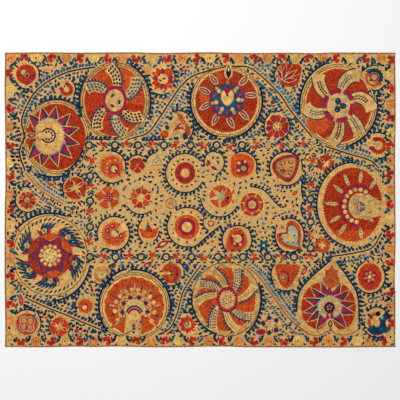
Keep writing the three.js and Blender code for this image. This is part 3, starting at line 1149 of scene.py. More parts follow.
# %% Loose dots of the field
for px, py, thread in (
    (258, 226, "indigo"), (268, 227, "indigo"), (260, 231.8, "scarlet"), (271.6, 222.6, "scarlet"),
    (170, 153.2, "orange"), (196.4, 153.4, "scarlet"), (198.4, 154, "indigo"), (158.6, 169.8, "orange"),
    (263.6, 155, "navy"), (268, 153.2, "scarlet"), (185.4, 202.4, "indigo"), (183.4, 202.2, "scarlet"),
):
    dab(thread, px, py, 1.5, 1.2, 30)
tell("the field's loose dots")

# %% [markdown]
# ## The two narrow borders
# The outer border repeats a small red flower between pale buds in straw yellow and peach. A dark leaf
# droops on either side of each red one, with two lesser leaves at its foot. The inner border repeats a
# little blue ring and a red flower of loose dabs.

# %% Places in the outer border
OUTER = {
    # side: where its middle line runs, which way it goes, which way is out,
    # and where its red flowers, straw buds and peach buds sit
    "top": (
        58.2, 0, 90, (24, 52, 81, 108, 136, 167, 196, 225, 254, 282, 309, 337, 366),
        (36, 94, 153, 210, 296, 351), (11, 66, 122, 182, 239, 267, 323, 381),
    ),
    "bottom": (
        341.2, 0, -90, (21, 51, 79, 107, 136, 165, 193, 223, 254, 284, 314, 343, 383),
        (65, 121, 179, 298, 357), (36, 93, 151, 209, 239, 269, 329, 370),
    ),
    "left": (
        10.2, -90, 180, (73, 108, 145, 176, 209, 244, 277, 305),
        (90, 162, 226, 290, 336), (127, 195, 258, 321),
    ),
    "right": (
        390.4, -90, 0, (60, 89, 119, 146, 175, 204, 234, 262, 292, 323),
        (74, 134, 217, 276, 337), (104, 161, 190, 249, 307),
    ),
}
print({side: len(row[3]) for side, row in OUTER.items()}, "red flowers")

# %% Outer border
dice = random.Random(7)  # for what hand work leaves a little uneven
BORDER_REACH = np.array((191.0, 143.0))  # how far from the middle a border leaf may start or end
# the dark leaves on a flank of a red flower: lean, how far towards the rim it starts, length, width
BORDER_LEAVES = ((46, 3.0, 9.0, 3.0), (-20, 1.8, 4.6, 2.2), (84, -0.6, 4.4, 2.0))


def on_line(level, along, run):
    """The chart point at a place along a border's middle line, which runs across the cloth or down it."""
    return spot(run, level) if along == 0 else spot(level, run)


for side, (level, along, out, reds, straws, peaches) in OUTER.items():
    for k, run in enumerate(reds):
        middle = on_line(level, along, run)
        tilt = 40 * k + out
        fill("wheat", around(middle, 4.9, step=1.2), hub=middle)
        for spread in (-100, -36, 36, 100):
            lobe = leaf(toward(middle, tilt + spread, 0.2), 5.2, 4.6, tilt + spread, blunt=0.55)
            fill(("brick", "scarlet")[k % 2], lobe, grain=tilt)
        dot("crimson", toward(middle, tilt, 2.0), 2.1, 1.6, tilt)
        dot("crimson", toward(middle, tilt + 130, 2.4), 1.5, 1.2, tilt)
        dot("celadon", toward(middle, tilt + 180, 1.2), 1.2, 0.9, tilt)
        for way in (-1, 1):
            flank = toward(middle, along, way * 5.0)
            heading = along if way > 0 else along + 180
            droop = math.copysign(1.0, math.sin(math.radians(out + 180 - heading)))
            for lean, slip, length, wide in BORDER_LEAVES:
                turn = heading + droop * lean + dice.uniform(-10, 10)
                base = np.clip(toward(flank, out, slip), -BORDER_REACH, BORDER_REACH)
                if np.any(np.abs(toward(base, turn, 0.8 * length)) > BORDER_REACH):
                    continue
                thread = dice.choice(("indigo", "indigo", "navy", "teal"))
                petal(thread, base, length, wide, turn, bend=droop * 18)
            for slip, reach in ((-4.9, 8.4), (3.0, 9.2)):
                place = toward(toward(middle, along, way * reach), out, slip)
                if np.all(np.abs(place) < BORDER_REACH + 1.6):
                    dot("indigo", place, 2.0, 1.0, along + 12 * way)
    for thread, runs in (("straw", straws), ("peach", peaches)):
        for k, run in enumerate(runs):
            middle = on_line(level, along, run)
            shape = around((0, 0), 5.6, 4.5)
            turned = shape if along == 0 else shape[:, ::-1]
            fill(thread, turned + middle, grain=out)
            for way in (-1, 1):
                streak = toward(middle, along, way * 2.6)
                petal(("peach", "orange")[thread == "peach"], toward(streak, out, -3.2), 6.0, 0.9, out)
            if (k + len(side)) % 3 == 0:
                dot(("scarlet", "navy", "sky")[k % 3], middle, 1.2)
tell("the outer border")

# %% [markdown]
# The inner border's rings and flowers are spaced by eye on the cloth, so their places are given one by
# one.

# %% Inner border
INNER = {
    # side: where its middle line runs, which way it goes, its blue rings, rings of dots and red flowers
    "top": (
        145.2, 0, (89, 115, 138, 164, 190.5, 216.5, 242), (268, 291.5, 311),
        (102, 126, 152, 177, 204, 230, 255, 280, 302),
    ),
    "bottom": (
        257, 0, (90, 115.5, 141, 166, 191.5, 218, 243, 268, 294), (),
        (102, 129, 153, 178, 204, 229, 253, 281, 309),
    ),
    "left": (90, -90, (176, 201, 227), (), (161, 187, 213, 241)),
    "right": (310.6, -90, (199, 222, 248), (174,), (161, 186, 210, 235)),
}
for level, along, rings, dotted, reds in INNER.values():
    for group, is_dotted in ((rings, False), (dotted, True)):
        for run in group:
            px, py = (run, level) if along == 0 else (level, run)
            ringlet(px, py, 4.4, "peach", is_dotted)
    for k, run in enumerate(reds):
        middle = on_line(level, along, run)
        tilt = 50 * k + 30
        for turn, reach, r, thread in (
            (0, 2.5, 2.9, "scarlet"),
            (70, 3.2, 1.7, "crimson"),
            (130, 3.0, 2.2, "orange"),
            (205, 3.4, 1.6, "celadon"),
            (260, 3.0, 2.3, "orange"),
            (310, 3.6, 1.5, "crimson"),
        ):
            dot(thread, toward(middle, tilt + turn, reach), r, r * 0.7, tilt + turn)
    stops = sorted(rings + dotted + reds)
    for a, b in zip(stops, stops[1:]):
        middle = on_line(level, along, (a + b) / 2)
        lean = along + dice.choice((-48, 48, 130))
        petal("indigo", toward(middle, lean, -3.2), 6.4, 2.4, lean, bend=24)
        dot("teal", toward(middle, lean + 90, 2.7), 2.2, 1.0, lean)
        dot("navy", toward(middle, lean - 90, 2.7), 2.0, 0.9, lean)
    ends = np.array([on_line(level, along, run) for run in (stops[0] - 4, stops[-1] + 4)])
    for offset in (-5.6, 5.6):
        leaves("indigo", evenly(beside(ends, offset), 3.0), 4.2, 2.0, 6.8, 6.0)
tell("the inner border")

# %% [markdown]
# ## Vines and leafy stems
# Long vines run between the rosettes, aubergine on some loom widths and rust on others. Rows of single
# leaf dabs in blues and greys lie along both sides of them, wherever there is room. Shorter dark stems
# with stubby leaves close round the flowers. They are arcs about a flower's middle that run clockwise, so
# that the leaves come out on the outer side.

# %% Vines
FIRST_ROW, ROW_GAP = 1.5, 3.6  # from the stem to its first row of leaves, and from row to row
LEANS = (58.0, 118.0)  # how far the leaves of every other row lean from the stem
VINES = [
    # stem, leaf threads row by row, where along it leaves grow to its left and right, places in the photo
    (
        "aubergine", ("teal", "indigo", "teal", "indigo"), (0, 1), (0, 0.86),
        ((25, 136), (21.7, 121), (28, 103), (41, 86.5), (66, 72.6), (95, 67)),
    ),
    ("aubergine", ("indigo", "navy"), (0, 1), (0, 1), ((25, 136), (19.4, 152), (25, 170.6))),
    (
        "rust", ("sky", "teal", "slate", "teal"), (0, 1), (0, 1),
        ((25.4, 173), (39.7, 189.3), (57.6, 200.7), (64, 204)),
    ),
    (
        "aubergine", ("sky", "teal", "sky", "slate"), (0, 0.78), (0, 0.64),
        ((131, 138.6), (148, 132.6), (160, 117), (170.7, 100.7), (182, 85), (196, 74.6), (226, 66.6)),
    ),
    (
        "aubergine", ("sky", "teal", "sky", "slate"), (0.2, 1), (0.3, 1),
        ((232, 66.4), (249, 67.6), (264.7, 79), (280, 94.7), (290.7, 110.7), (312, 137)),
    ),
    (
        "aubergine", ("sky", "teal", "sky"), (0, 1), (0, 1),
        ((325, 146), (346, 153), (369, 160), (379, 168)),
    ),
    (
        "aubergine", ("indigo", "teal"), (0, 1), (0, 1),
        ((381.5, 233), (372, 247.7), (354, 253), (325, 257.4)),
    ),
    (
        "aubergine", ("indigo", "navy", "indigo", "teal"), (0, 1), (0, 1),
        ((28, 299), (46.9, 307.4), (66.9, 315.3), (84.7, 323), (104, 331)),
    ),
    (
        "aubergine", ("teal", "indigo", "teal", "indigo"), (0.15, 1), (0.15, 1),
        ((158, 334.7), (170, 328), (177.3, 313), (184, 290), (201, 265)),
    ),
    (
        "rust", ("sky", "teal", "slate", "teal"), (0, 0.9), (0, 0.9),
        ((247, 266.8), (259, 277), (274.7, 298.7), (290, 319.3), (308, 333.6)),
    ),
]
for stem, threads, on_left, on_right, places in VINES:
    path = curve(spots(places))
    line(stem, path, 1.5)
    for side, (start, end) in ((1, on_left), (-1, on_right)):
        part = path[int(start * len(path)) : int(end * len(path))]
        for k, thread in enumerate(threads):
            size = 0.8 if stem == "rust" else 1.1 if thread in ("indigo", "navy") else 0.96
            for row in free_runs(beside(part, side * (FIRST_ROW + ROW_GAP * k)), 0.2 if k else 0.0):
                lean = side * LEANS[k % 2]
                leaves(thread, row, 4.4 * size, 3.0 * size, 3.3 * size, lean)
THIN_VINES = (
    # thread, places in the photo
    ("rust", ((296.3, 322.6), (304, 331.4), (317, 335.4), (330, 329.8))),
    ("rust", ((331, 330.6), (338, 334.4), (350, 334), (359.4, 328.9))),
    ("aubergine", ((107, 331), (119, 335.6), (132, 330.5))),
    ("aubergine", ((158.5, 334.6), (164.8, 333.6))),
)
for thread, places in THIN_VINES:
    line(thread, curve(spots(places)), 0.9)
tell("the vines")

# %% Leafy stems round the rosettes
STEMS = [
    # middle of the flower in the photo (px, py), reach sideways and upwards, where the arc starts, its sweep
    (56.3, 137, 35.5, 38, 116, -66),
    (52.5, 137, 32, 37.5, -20, -48),
    (54, 137, 40, 40, -68, -46),
    (114.7, 101.2, 35.5, 41, 203, -62),
    (114.7, 101.2, 36, 40.5, 66, -86),
    (226.4, 101.1, 36, 37.2, 22, -112),
    (226.4, 101.1, 36, 37, 256, -100),
    (338.6, 105.6, 39, 44.5, 191, -84),
    (338.6, 105.6, 39, 41.5, 15, -90),
    (226.4, 299.3, 34.6, 36, 254, -86),
    (226.4, 299.3, 35, 41, 20, -76),
    (134.3, 306, 35.6, 38, 222, -120),
    (134.3, 306, 36.4, 36.4, 96, -106),
    (50.3, 255.6, 43, 42.4, 142, -74),
    (50.3, 255.6, 41, 45.4, -12, -76),
]
HEART_STEMS = [
    # places in the photo
    ((296.3, 312), (299.2, 292), (310.6, 277.6), (331, 260)),
    ((336.3, 261.4), (347.5, 277), (357.5, 295), (359.4, 322.6)),
]
for px, py, rx, ry, start, sweep in STEMS:
    leafy(around(spot(px, py), rx, ry, start, sweep))
for places in HEART_STEMS:
    leafy(curve(spots(places)))
tell("the stems round the rosettes")

# %% Leafy stems round the small flowers
SMALL_LEAFY = {"width": 1.5, "size": (4.4, 3.0), "spacing": 3.9}
SMALL_STEMS = [
    # the same columns as in the table above
    (352.6, 204.6, 35.8, 42, 259, -172),
    (26.2, 74.4, 13.2, 13, 56, -72),
    (26.2, 74.4, 12, 14.6, 284, -72),
    (66, 89.4, 9.6, 10.4, 56, -94),
    (162, 79, 14.5, 16, 288, -50),
    (160, 77, 15, 14, 42, -68),
    (178.5, 127, 15, 16.4, 114, -76),
    (178.5, 127, 15, 16.4, 27, -76),
    (288, 75.5, 14, 13.6, 206, -86),
    (277.4, 126.6, 13.2, 15.6, 214, -88),
    (276.4, 126.6, 15, 15.4, 118, -42),
    (277.4, 126.6, 12.6, 12.8, 35, -114),
    (375, 77.2, 12, 13.4, -34, -72),
    (374.2, 77.2, 12.6, 12, 146, -66),
    (378, 145.6, 13, 13.2, 112, -66),
    (378.4, 145.6, 13.4, 13, -56, -36),
    (75.4, 188.2, 13, 13, 211, -77),
    (75.4, 188.2, 12.4, 12.8, 84, -54),
    (27.2, 200.2, 12, 12.2, -50, -157),
    (26, 200.2, 13, 13.6, 124, -56),
    (27, 324, 14.4, 14.4, 134, -79),
    (26, 323, 15, 15.4, 40, -76),
    (59.8, 327, 11, 11.6, 220, -78),
    (59.2, 327, 10.8, 11, 24, -58),
    (86, 305.6, 10.8, 11.6, 214, -82),
    (101.6, 274.2, 10.4, 10.6, 49, -184),
    (171.3, 273.2, 13.6, 13.6, 60, -42),
    (171.3, 273.2, 13, 12.8, -55, -59),
    (187.6, 324.4, 12.4, 12.2, 110, -47),
    (187.6, 324.4, 10.4, 11.4, 245, -56),
    (286, 274.6, 15, 16.4, 214, -76),
    (286, 274.6, 16, 16.6, -61, -59),
    (369.8, 276.8, 15.4, 16.6, 41, -176),
    (369.8, 276.8, 14.6, 16.2, 169, -58),
    (376.8, 322.4, 13.4, 15.4, 135, -108),
    (376.8, 322.4, 14, 15, -62, -70),
    (111.8, 166.6, 14, 15.4, 93, -109),
    (111.8, 166.6, 16.4, 16.6, -50, -105),
    (137.2, 165.2, 10.2, 10.4, 150, -96),
    (158, 163, 12, 10.6, 177, -79),
    (185, 173, 19.4, 19.6, -26, -296),
    (213, 162.4, 9, 11.2, 200, -144),
    (213, 162.4, 11.4, 12.4, 47, -117),
    (242.6, 166, 14.4, 14.6, 121, -141),
    (286, 167.4, 16.6, 15.6, 211, -161),
    (286, 167, 16.4, 16, 28, -38),
    (286, 167.4, 18, 18.2, -23, -87),
    (220, 196.8, 19.4, 20.2, -26, -150),
    (141, 198, 16, 16.4, -52, -96),
    (114.2, 233.8, 17.2, 17.4, 203, -138),
    (114.2, 233.8, 15.6, 16.8, 38, -160),
    (149.4, 230.6, 11.6, 14, 238, -108),
    (149, 231, 10.2, 11.4, 0, -62),
    (187, 227, 20, 20, -87, -130),
    (187, 227, 20, 19.6, 123, -84),
    (211.4, 222.6, 8.4, 8.4, 252, -106),
    (237, 240, 15, 15.6, 228, -103),
    (238, 240.6, 16, 15.2, 122, -82),
    (237, 240, 15, 15, 34, -84),
    (289.6, 235.4, 14.6, 17.4, 120, -146),
    (289.6, 235.4, 14.6, 17.4, -50, -148),
]
for px, py, rx, ry, start, sweep in SMALL_STEMS:
    leafy(around(spot(px, py), rx, ry, start, sweep), **SMALL_LEAFY)
tell("the stems round the small flowers")

# %% Tendrils
TENDRILS = [
    # places in the photo
    ((303.5, 176.8), (301.6, 188), (303, 199)),
    ((302.9, 201.8), (301, 208), (302.9, 216.8)),
    ((249.8, 186), (263.5, 189.9), (276, 203), (281, 207.5)),
    ((221, 225.5), (211, 233), (195.6, 246), (188, 246.8)),
    ((86, 138.6), (96, 139.4), (108, 139.2)),
    ((142, 140.6), (152, 140), (162, 139.4)),
]
for places in TENDRILS:
    leafy(curve(spots(places)), **SMALL_LEAFY)
tell("the tendrils")
print(sum(map(len, leaf_rows.values())), "rows of leaves")

# %% [markdown]
# ## Filling leaves
# The ground that is left between the motifs is scattered with single dabs: small leaves in blue and grey,
# and here and there a red or peach dot. They are put down at random, from a fixed seed, wherever the map
# shows bare ground.

# %% Scatter
FIELD_BOX = np.array((spot(97, 252), spot(304, 151)))
GROUND_REACH = (192, 144)  # how far from the middle a filling leaf may lie
TRIES = 40000  # places that are tried for one
STEM_SHARE, STEM_ROOM = 0.55, 0.75  # how many places beside a stem take a leaf, and the space it needs
# silk: how often it is used
SCATTER = {"indigo": 8, "navy": 6, "teal": 4, "sky": 1, "slate": 1, "scarlet": 1, "peach": 1}
FIELD_ROOM, BORDER_ROOM = (1.5, 3.2), (0.4, 0.62)  # the clear space that a filling leaf needs
dabs = 0
for path in stems:
    for point in evenly(beside(path, dice.uniform(5.0, 7.0)), 3.4):
        on_cloth = np.all(np.abs(point) < BORDER_REACH)
        if dice.random() < STEM_SHARE and on_cloth and is_free(point, STEM_ROOM):
            turn = dice.uniform(0, 360)
            thread = dice.choice(("navy", "indigo", "teal"))
            petal(thread, toward(point, turn, -1.7), 3.4, 2.1, turn, puff=True)
            dabs += 1
for _ in range(TRIES):
    point = np.array([dice.uniform(-reach, reach) for reach in GROUND_REACH])
    in_field = np.all(point > FIELD_BOX[0]) and np.all(point < FIELD_BOX[1])
    if not is_free(point, dice.uniform(*(FIELD_ROOM if in_field else BORDER_ROOM))):
        continue
    thread = dice.choices(list(SCATTER), list(SCATTER.values()))[0]
    length, turn = dice.uniform(3.4, 5.2), dice.uniform(0, 360)
    width, bend = dice.uniform(1.9, 2.6), dice.uniform(-50, 50)
    petal(thread, toward(point, turn, -length / 2), length, width, turn, bend, puff=True)
    dabs += 1
print(dabs, "filling leaves")

# %% [markdown]
# ## Silk and cotton
# The silk is floss without much twist, dyed in small lots, so no two threads match. One shader group
# makes every silk: the attribute "lay" says which way the threads of a shape run and how far its dye is
# off, and the group turns that into single threads, streaks that are partly uneven floss and partly
# painted sheen, worn places and the small slanting stitches that hold the threads down. The cotton has a
# group of its own, with a plain weave, tea-coloured staining and faded patches.

# %% Shader helpers
def linear(red, green, blue):
    """A colour as it is seen on a screen, 0 to 255, as a scene colour."""
    parts = [v / 255 for v in (red, green, blue)]
    return (*(v / 12.92 if v <= 0.04045 else ((v + 0.055) / 1.055) ** 2.4 for v in parts), 1.0)


def plug(tree, value, socket):
    """Links a socket, or sets a plain value."""
    if isinstance(value, bpy.types.NodeSocket):
        tree.links.new(value, socket)
    else:
        socket.default_value = value


def maths(tree, operation, *values):
    """One sum, from sockets and plain values."""
    node = tree.nodes.new("ShaderNodeMath")
    node.operation = operation
    for value, socket in zip(values, node.inputs):
        plug(tree, value, socket)
    return node.outputs[0]


def noise(tree, place, scale, rough=0.5):
    """Smooth noise from 0 to 1."""
    node = tree.nodes.new("ShaderNodeTexNoise")
    plug(tree, place, node.inputs["Vector"])
    node.inputs["Scale"].default_value = scale
    node.inputs["Detail"].default_value = 2.0
    node.inputs["Roughness"].default_value = rough
    return node.outputs[0]


def grade(tree, value, low, high, start=0.0, end=1.0):
    """A value moved from one range to another, and kept inside it."""
    node = tree.nodes.new("ShaderNodeMapRange")
    for part, socket in zip((value, low, high, start, end), node.inputs):
        plug(tree, part, socket)
    return node.outputs[0]


def blend(tree, share, first, second):
    """Two colours mixed."""
    node = tree.nodes.new("ShaderNodeMix")
    node.data_type = "RGBA"
    plug(tree, share, node.inputs[0])
    plug(tree, first, node.inputs[6])
    plug(tree, second, node.inputs[7])
    return node.outputs[2]


def parts_of(tree, vector):
    """The three parts of a vector."""
    node = tree.nodes.new("ShaderNodeSeparateXYZ")
    tree.links.new(vector, node.inputs[0])
    return node.outputs


def joined(tree, *parts):
    """A vector from three parts."""
    node = tree.nodes.new("ShaderNodeCombineXYZ")
    for part, socket in zip(parts, node.inputs):
        plug(tree, part, socket)
    return node.outputs[0]


def shader_group(name, inputs):
    """An empty shader group that gives a colour, a height and a roughness."""
    tree = bpy.data.node_groups.new(name, "ShaderNodeTree")
    for label, kind in inputs.items():
        tree.interface.new_socket(label, in_out="INPUT", socket_type=kind)
    outputs = {"Colour": "NodeSocketColor", "Height": "NodeSocketFloat", "Roughness": "NodeSocketFloat"}
    for label, kind in outputs.items():
        tree.interface.new_socket(label, in_out="OUTPUT", socket_type=kind)
    return tree, tree.nodes.new("NodeGroupInput").outputs, tree.nodes.new("NodeGroupOutput").inputs


# %% Silk: where its threads run
THREAD_PITCH = 0.0011  # from one strand of floss to the next
COUCHING = 0.006  # from one slanting stitch to the next along a strand
GROUND_COLOUR = linear(210, 164, 96)

silk_inputs = {"Dye": "NodeSocketColor", "Wear": "NodeSocketFloat"}
tree, given, result = shader_group("silk_threads", silk_inputs)
lay = tree.nodes.new("ShaderNodeAttribute")
lay.attribute_name = "lay"
run_x, run_y, tint = parts_of(tree, lay.outputs["Vector"])
here = tree.nodes.new("ShaderNodeTexCoord").outputs["Object"]
at_x, at_y, _ = parts_of(tree, here)
along = maths(tree, "MULTIPLY_ADD", at_x, run_x, maths(tree, "MULTIPLY", at_y, run_y))
sideways = maths(tree, "MULTIPLY", at_x, run_y)
across = maths(tree, "SUBTRACT", maths(tree, "MULTIPLY", at_y, run_x), sideways)
strand = maths(tree, "DIVIDE", across, THREAD_PITCH)
strand_number = tree.nodes.new("ShaderNodeTexWhiteNoise")
strand_number.noise_dimensions = "1D"
plug(tree, maths(tree, "FLOOR", strand), strand_number.inputs["W"])
own_shade = strand_number.outputs["Value"]
# Streaks drawn out along the threads: partly uneven floss, partly painted sheen that makes the colour
# lighter and darker
drawn_out = [maths(tree, "MULTIPLY", way, often) for way, often in ((along, 30), (across, 260))]
streak = noise(tree, joined(tree, *drawn_out, tint), 1.0)

# %% Silk: its shades and painted sheen
blotch = grade(tree, noise(tree, here, 130.0, rough=0.6), 0.32, 0.68)
patch = grade(tree, noise(tree, here, 32.0), 0.35, 0.65)
sheet_fade = noise(tree, here, 4.0)
# Of these, streak puts painted sheen into the colour along with uneven floss; the rest is uneven dye, wear
# and fading
varied = ((own_shade, 0.2), (streak, 0.5), (blotch, 0.6), (patch, 0.4), (sheet_fade, 0.2))
shade = 1.0 - sum(amount for _, amount in varied) / 2  # each of them averages a half
for value, amount in (*varied, (tint, 0.12)):
    shade = maths(tree, "MULTIPLY_ADD", value, amount, shade)
tone = tree.nodes.new("ShaderNodeHueSaturation")
plug(tree, maths(tree, "MULTIPLY_ADD", blotch, 0.03, 0.485), tone.inputs["Hue"])
# The painted sheen of the streaks also pales the colour
plug(tree, maths(tree, "MULTIPLY_ADD", streak, 0.24, 0.88), tone.inputs["Saturation"])
plug(tree, shade, tone.inputs["Value"])
plug(tree, given["Dye"], tone.inputs["Color"])
worn = grade(tree, noise(tree, here, 240.0, rough=0.6), 0.56, 0.72)
bared = maths(tree, "MULTIPLY", worn, given["Wear"])
plug(tree, blend(tree, bared, tone.outputs[0], GROUND_COLOUR), result["Colour"])

# %% Silk: its relief
ridge = maths(tree, "PINGPONG", strand, 0.5)
slant = maths(tree, "DIVIDE", maths(tree, "MULTIPLY_ADD", across, 0.8, along), COUCHING)
tick = grade(tree, maths(tree, "PINGPONG", slant, 0.5), 0.38, 0.5)
plug(tree, maths(tree, "MULTIPLY_ADD", tick, -0.5, ridge), result["Height"])
plug(tree, maths(tree, "MULTIPLY_ADD", streak, 0.25, 0.5), result["Roughness"])
silk_group = tree
print("the silk group has", len(tree.nodes), "nodes")

# %% Cotton weave
WEAVE_PITCH = 0.0014  # from one pair of threads to the next
cotton_inputs = {"Dye": "NodeSocketColor", "Stain": "NodeSocketColor", "Faded": "NodeSocketColor"}
tree, given, result = shader_group("cotton_weave", cotton_inputs)
here = tree.nodes.new("ShaderNodeTexCoord").outputs["Object"]
at_x, at_y, _ = parts_of(tree, here)
warp = maths(tree, "SINE", maths(tree, "MULTIPLY", at_x, 2 * math.pi / WEAVE_PITCH))
weft = maths(tree, "SINE", maths(tree, "MULTIPLY", at_y, 2 * math.pi / WEAVE_PITCH))
plug(tree, maths(tree, "MULTIPLY", warp, weft), result["Height"])
drawn_out = [maths(tree, "MULTIPLY", way, often) for way, often in ((at_x, 25), (at_y, 160))]
slub = noise(tree, joined(tree, *drawn_out, 0.0), 1.0)
fine = grade(tree, noise(tree, here, 150.0, 0.6), 0.32, 0.68)
stained = grade(tree, noise(tree, here, 85.0, 0.6), 0.52, 0.68, 0.0, 0.8)
elsewhere = joined(tree, at_y, at_x, 0.4)
faded = grade(tree, noise(tree, elsewhere, 90.0, 0.6), 0.5, 0.66, 0.0, 0.8)
colour = blend(tree, stained, given["Dye"], given["Stain"])
colour = blend(tree, faded, colour, given["Faded"])
shade = maths(tree, "MULTIPLY_ADD", fine, 0.46, 0.63)
shade = maths(tree, "MULTIPLY_ADD", slub, 0.3, shade)
tone = tree.nodes.new("ShaderNodeHueSaturation")
plug(tree, shade, tone.inputs["Value"])
plug(tree, colour, tone.inputs["Color"])
plug(tree, tone.outputs[0], result["Colour"])
result["Roughness"].default_value = 0.92
cotton_group = tree
print("the cotton group has", len(tree.nodes), "nodes")


# %% Cloth material
def cloth_material(name, group, values, bump=0.00025):
    """A Principled material fed by one of the shader groups."""
    material = bpy.data.materials.new(name)
    material.use_nodes = True
    tree = material.node_tree
    shader = tree.nodes["Principled BSDF"]
    source = tree.nodes.new("ShaderNodeGroup")
    source.node_tree = group
    for label, value in values.items():
        source.inputs[label].default_value = value
    raised = tree.nodes.new("ShaderNodeBump")
    raised.inputs["Strength"].default_value = 0.6
    raised.inputs["Distance"].default_value = bump
    tree.links.new(source.outputs["Height"], raised.inputs["Height"])
    tree.links.new(source.outputs["Colour"], shader.inputs["Base Color"])
    tree.links.new(source.outputs["Roughness"], shader.inputs["Roughness"])
    tree.links.new(raised.outputs["Normal"], shader.inputs["Normal"])
    shader.inputs["Specular IOR Level"].default_value = 0.06
    return material


# %% Dyes
DYES = {
    # silk: colour as seen, how worn
    "brick": ((162, 38, 4), 0.22),
    "orange": ((188, 68, 20), 0.25),
    "scarlet": ((188, 42, 10), 0.22),
    "flame": ((176, 80, 34), 0.3),
    "crimson": ((146, 26, 60), 0.2),
    "indigo": ((0, 58, 80), 0.04),
    "navy": ((4, 18, 58), 0.05),
    "teal": ((4, 84, 112), 0.06),
    "sky": ((70, 116, 132), 0.2),
    "slate": ((92, 100, 92), 0.3),
    "celadon": ((168, 170, 134), 0.2),
    "aubergine": ((46, 8, 38), 0.1),
    "wheat": ((208, 162, 94), 0.0),
    "straw": ((214, 172, 94), 0.1),
    "peach": ((204, 132, 66), 0.2),
    "olive": ((46, 40, 20), 0.1),
    "rust": ((168, 84, 30), 0.3),
}
silks = {
    name: cloth_material("silk_" + name, silk_group, {"Dye": linear(*colour), "Wear": wear})
    for name, (colour, wear) in DYES.items()
}
cotton_colours = {"Dye": GROUND_COLOUR, "Stain": linear(160, 122, 62), "Faded": linear(214, 184, 130)}
cotton = cloth_material("cotton", cotton_group, cotton_colours, bump=0.0002)
print(len(silks), "silks and one cotton")

# %% [markdown]
# ## The five loom widths
# Each loom width is a thin sheet of cotton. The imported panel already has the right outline, hand-sewn rim
# and all, but it is as thick as cotton and silk together. The sheet made here keeps that outline and is
# only as thick as the cotton, so that the silk has its own height above it.

# %% Cloth sheets
COTTON_TOP = 1.2 * MM
cloths = []


def added(name, data):
    """A new object in the scene."""
    made = bpy.data.objects.new(name, data)
    bpy.context.collection.objects.link(made)
    return made


for name in PANELS:
    low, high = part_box(name)
    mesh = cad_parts[name].data.copy()
    mesh.name = name.replace("panel", "cloth")
    places = np.zeros(len(mesh.vertices) * 3, np.float32)
    mesh.vertices.foreach_get("co", places)
    places[2::3] *= COTTON_TOP / high[2]
    mesh.vertices.foreach_set("co", places)
    mesh.materials.clear()
    mesh.materials.append(cotton)
    cloth = added(mesh.name, mesh)
    cloths.append(cloth)
    print(cloth.name, "flat", [round((high[k] - low[k]) / MM) for k in (0, 1)], "mm")

# %% [markdown]
# ## Laying the silk
# Each shape in the list becomes a pad: a rim that slopes up from the cotton and a top that is flat, or
# domed for the small satin dots. The pads of one silk are joined into one piece. A line is a ribbon with
# sloping sides.

# %% Heights and piles
PAD_FOOT = COTTON_TOP - 0.2 * MM  # where a pad's rim starts, just inside the cotton
PAD_HEIGHT = 0.28 * MM  # the lowest layer of silk above the cotton
LAYER = 0.1 * MM  # each layer above that
DOME, RISE = 0.25 * MM, 0.02 * MM  # how far the middle of a satin dot, and of a disc, stands above its rim
RIM = 0.13  # how far the top of a pad is set in, in chart units


def height_of(level):
    """How high the top of a layer of silk lies."""
    return COTTON_TOP + PAD_HEIGHT + LAYER * level


class Pile:
    """Vertices and faces that are gathered for one piece."""

    def __init__(self):
        self.places, self.faces, self.lays, self.smooth = [], [], [], []

    def corner(self, points, z):
        """Adds points at one height, and says where they start."""
        start = len(self.places)
        self.places.extend((x * UNIT, y * UNIT, z) for x, y in points)
        return start

    def face(self, corners, turn, tint, smooth=False):
        """Adds a face with its thread direction and how far its dye is off."""
        self.faces.append(corners)
        self.lays.append((math.cos(turn), math.sin(turn), tint))
        self.smooth.append(smooth)


# %% Pads and ribbons
def set_in(outline):
    """The outline moved inwards by the rim, or by less where the shape is thin."""
    gaps = np.linalg.norm(outline[:, None] - outline[None, :], axis=2) + np.eye(len(outline)) * 99
    return outline + normals(outline, closed=True) * np.minimum(RIM, 0.3 * gaps.min(axis=1))[:, None]


def leftward(first, second):
    """Positive where the second vector is turned to the left of the first."""
    return first[..., 0] * second[..., 1] - first[..., 1] * second[..., 0]


def pad(pile, shape, tint):
    """One filled shape."""
    outline, top = shape["outline"], height_of(shape["level"])
    count = len(outline)
    inner = set_in(outline)
    base = pile.corner(outline, PAD_FOOT)
    crown = pile.corner(inner, top)
    grain, hub = math.radians(shape["grain"]), shape["hub"]
    for k in range(count):
        after = (k + 1) % count
        pile.face((base + k, base + after, crown + after, crown + k), grain, tint, shape["puff"])
    heart = inner.mean(axis=0) if hub is None else np.asarray(hub)
    turning = leftward(inner - heart, np.roll(inner, -1, axis=0) - heart)
    if (shape["puff"] or hub is not None) and (turning > 0).all():
        middle = pile.corner([heart], top + (DOME if shape["puff"] else RISE))
        for k in range(count):
            after = (k + 1) % count
            out = (inner[k] + inner[after]) / 2 - heart
            turn = grain if hub is None else math.atan2(out[1], out[0])
            pile.face((middle, crown + k, crown + after), turn, tint, shape["puff"])
        return
    for corners in tessellate_polygon([[(x, y, 0.0) for x, y in inner]]):
        a, b, c = inner[list(corners)]
        corners = corners if leftward(b - a, c - a) > 0 else corners[::-1]
        out = (a + b + c) / 3 - heart
        turn = grain if hub is None else math.atan2(out[1], out[0])
        pile.face(tuple(crown + k for k in corners), turn, tint)


def ribbon(pile, shape, tint):
    """One worked line."""
    path, half, top = shape["path"], shape["width"] / 2, height_of(shape["level"])
    section = ((-half, PAD_FOOT), (-half * 0.7, top), (half * 0.7, top), (half, PAD_FOOT))
    rows = [pile.corner(beside(path, offset), z) for offset, z in section]
    steps = np.diff(path, axis=0)
    for k, (dx, dy) in enumerate(steps):
        for a, b in zip(rows, rows[1:]):
            pile.face((a + k, a + k + 1, b + k + 1, b + k), math.atan2(dy, dx), tint)
    last = len(path) - 1
    pile.face(tuple(rows), 0.0, tint)
    pile.face(tuple(row + last for row in rows[::-1]), 0.0, tint)


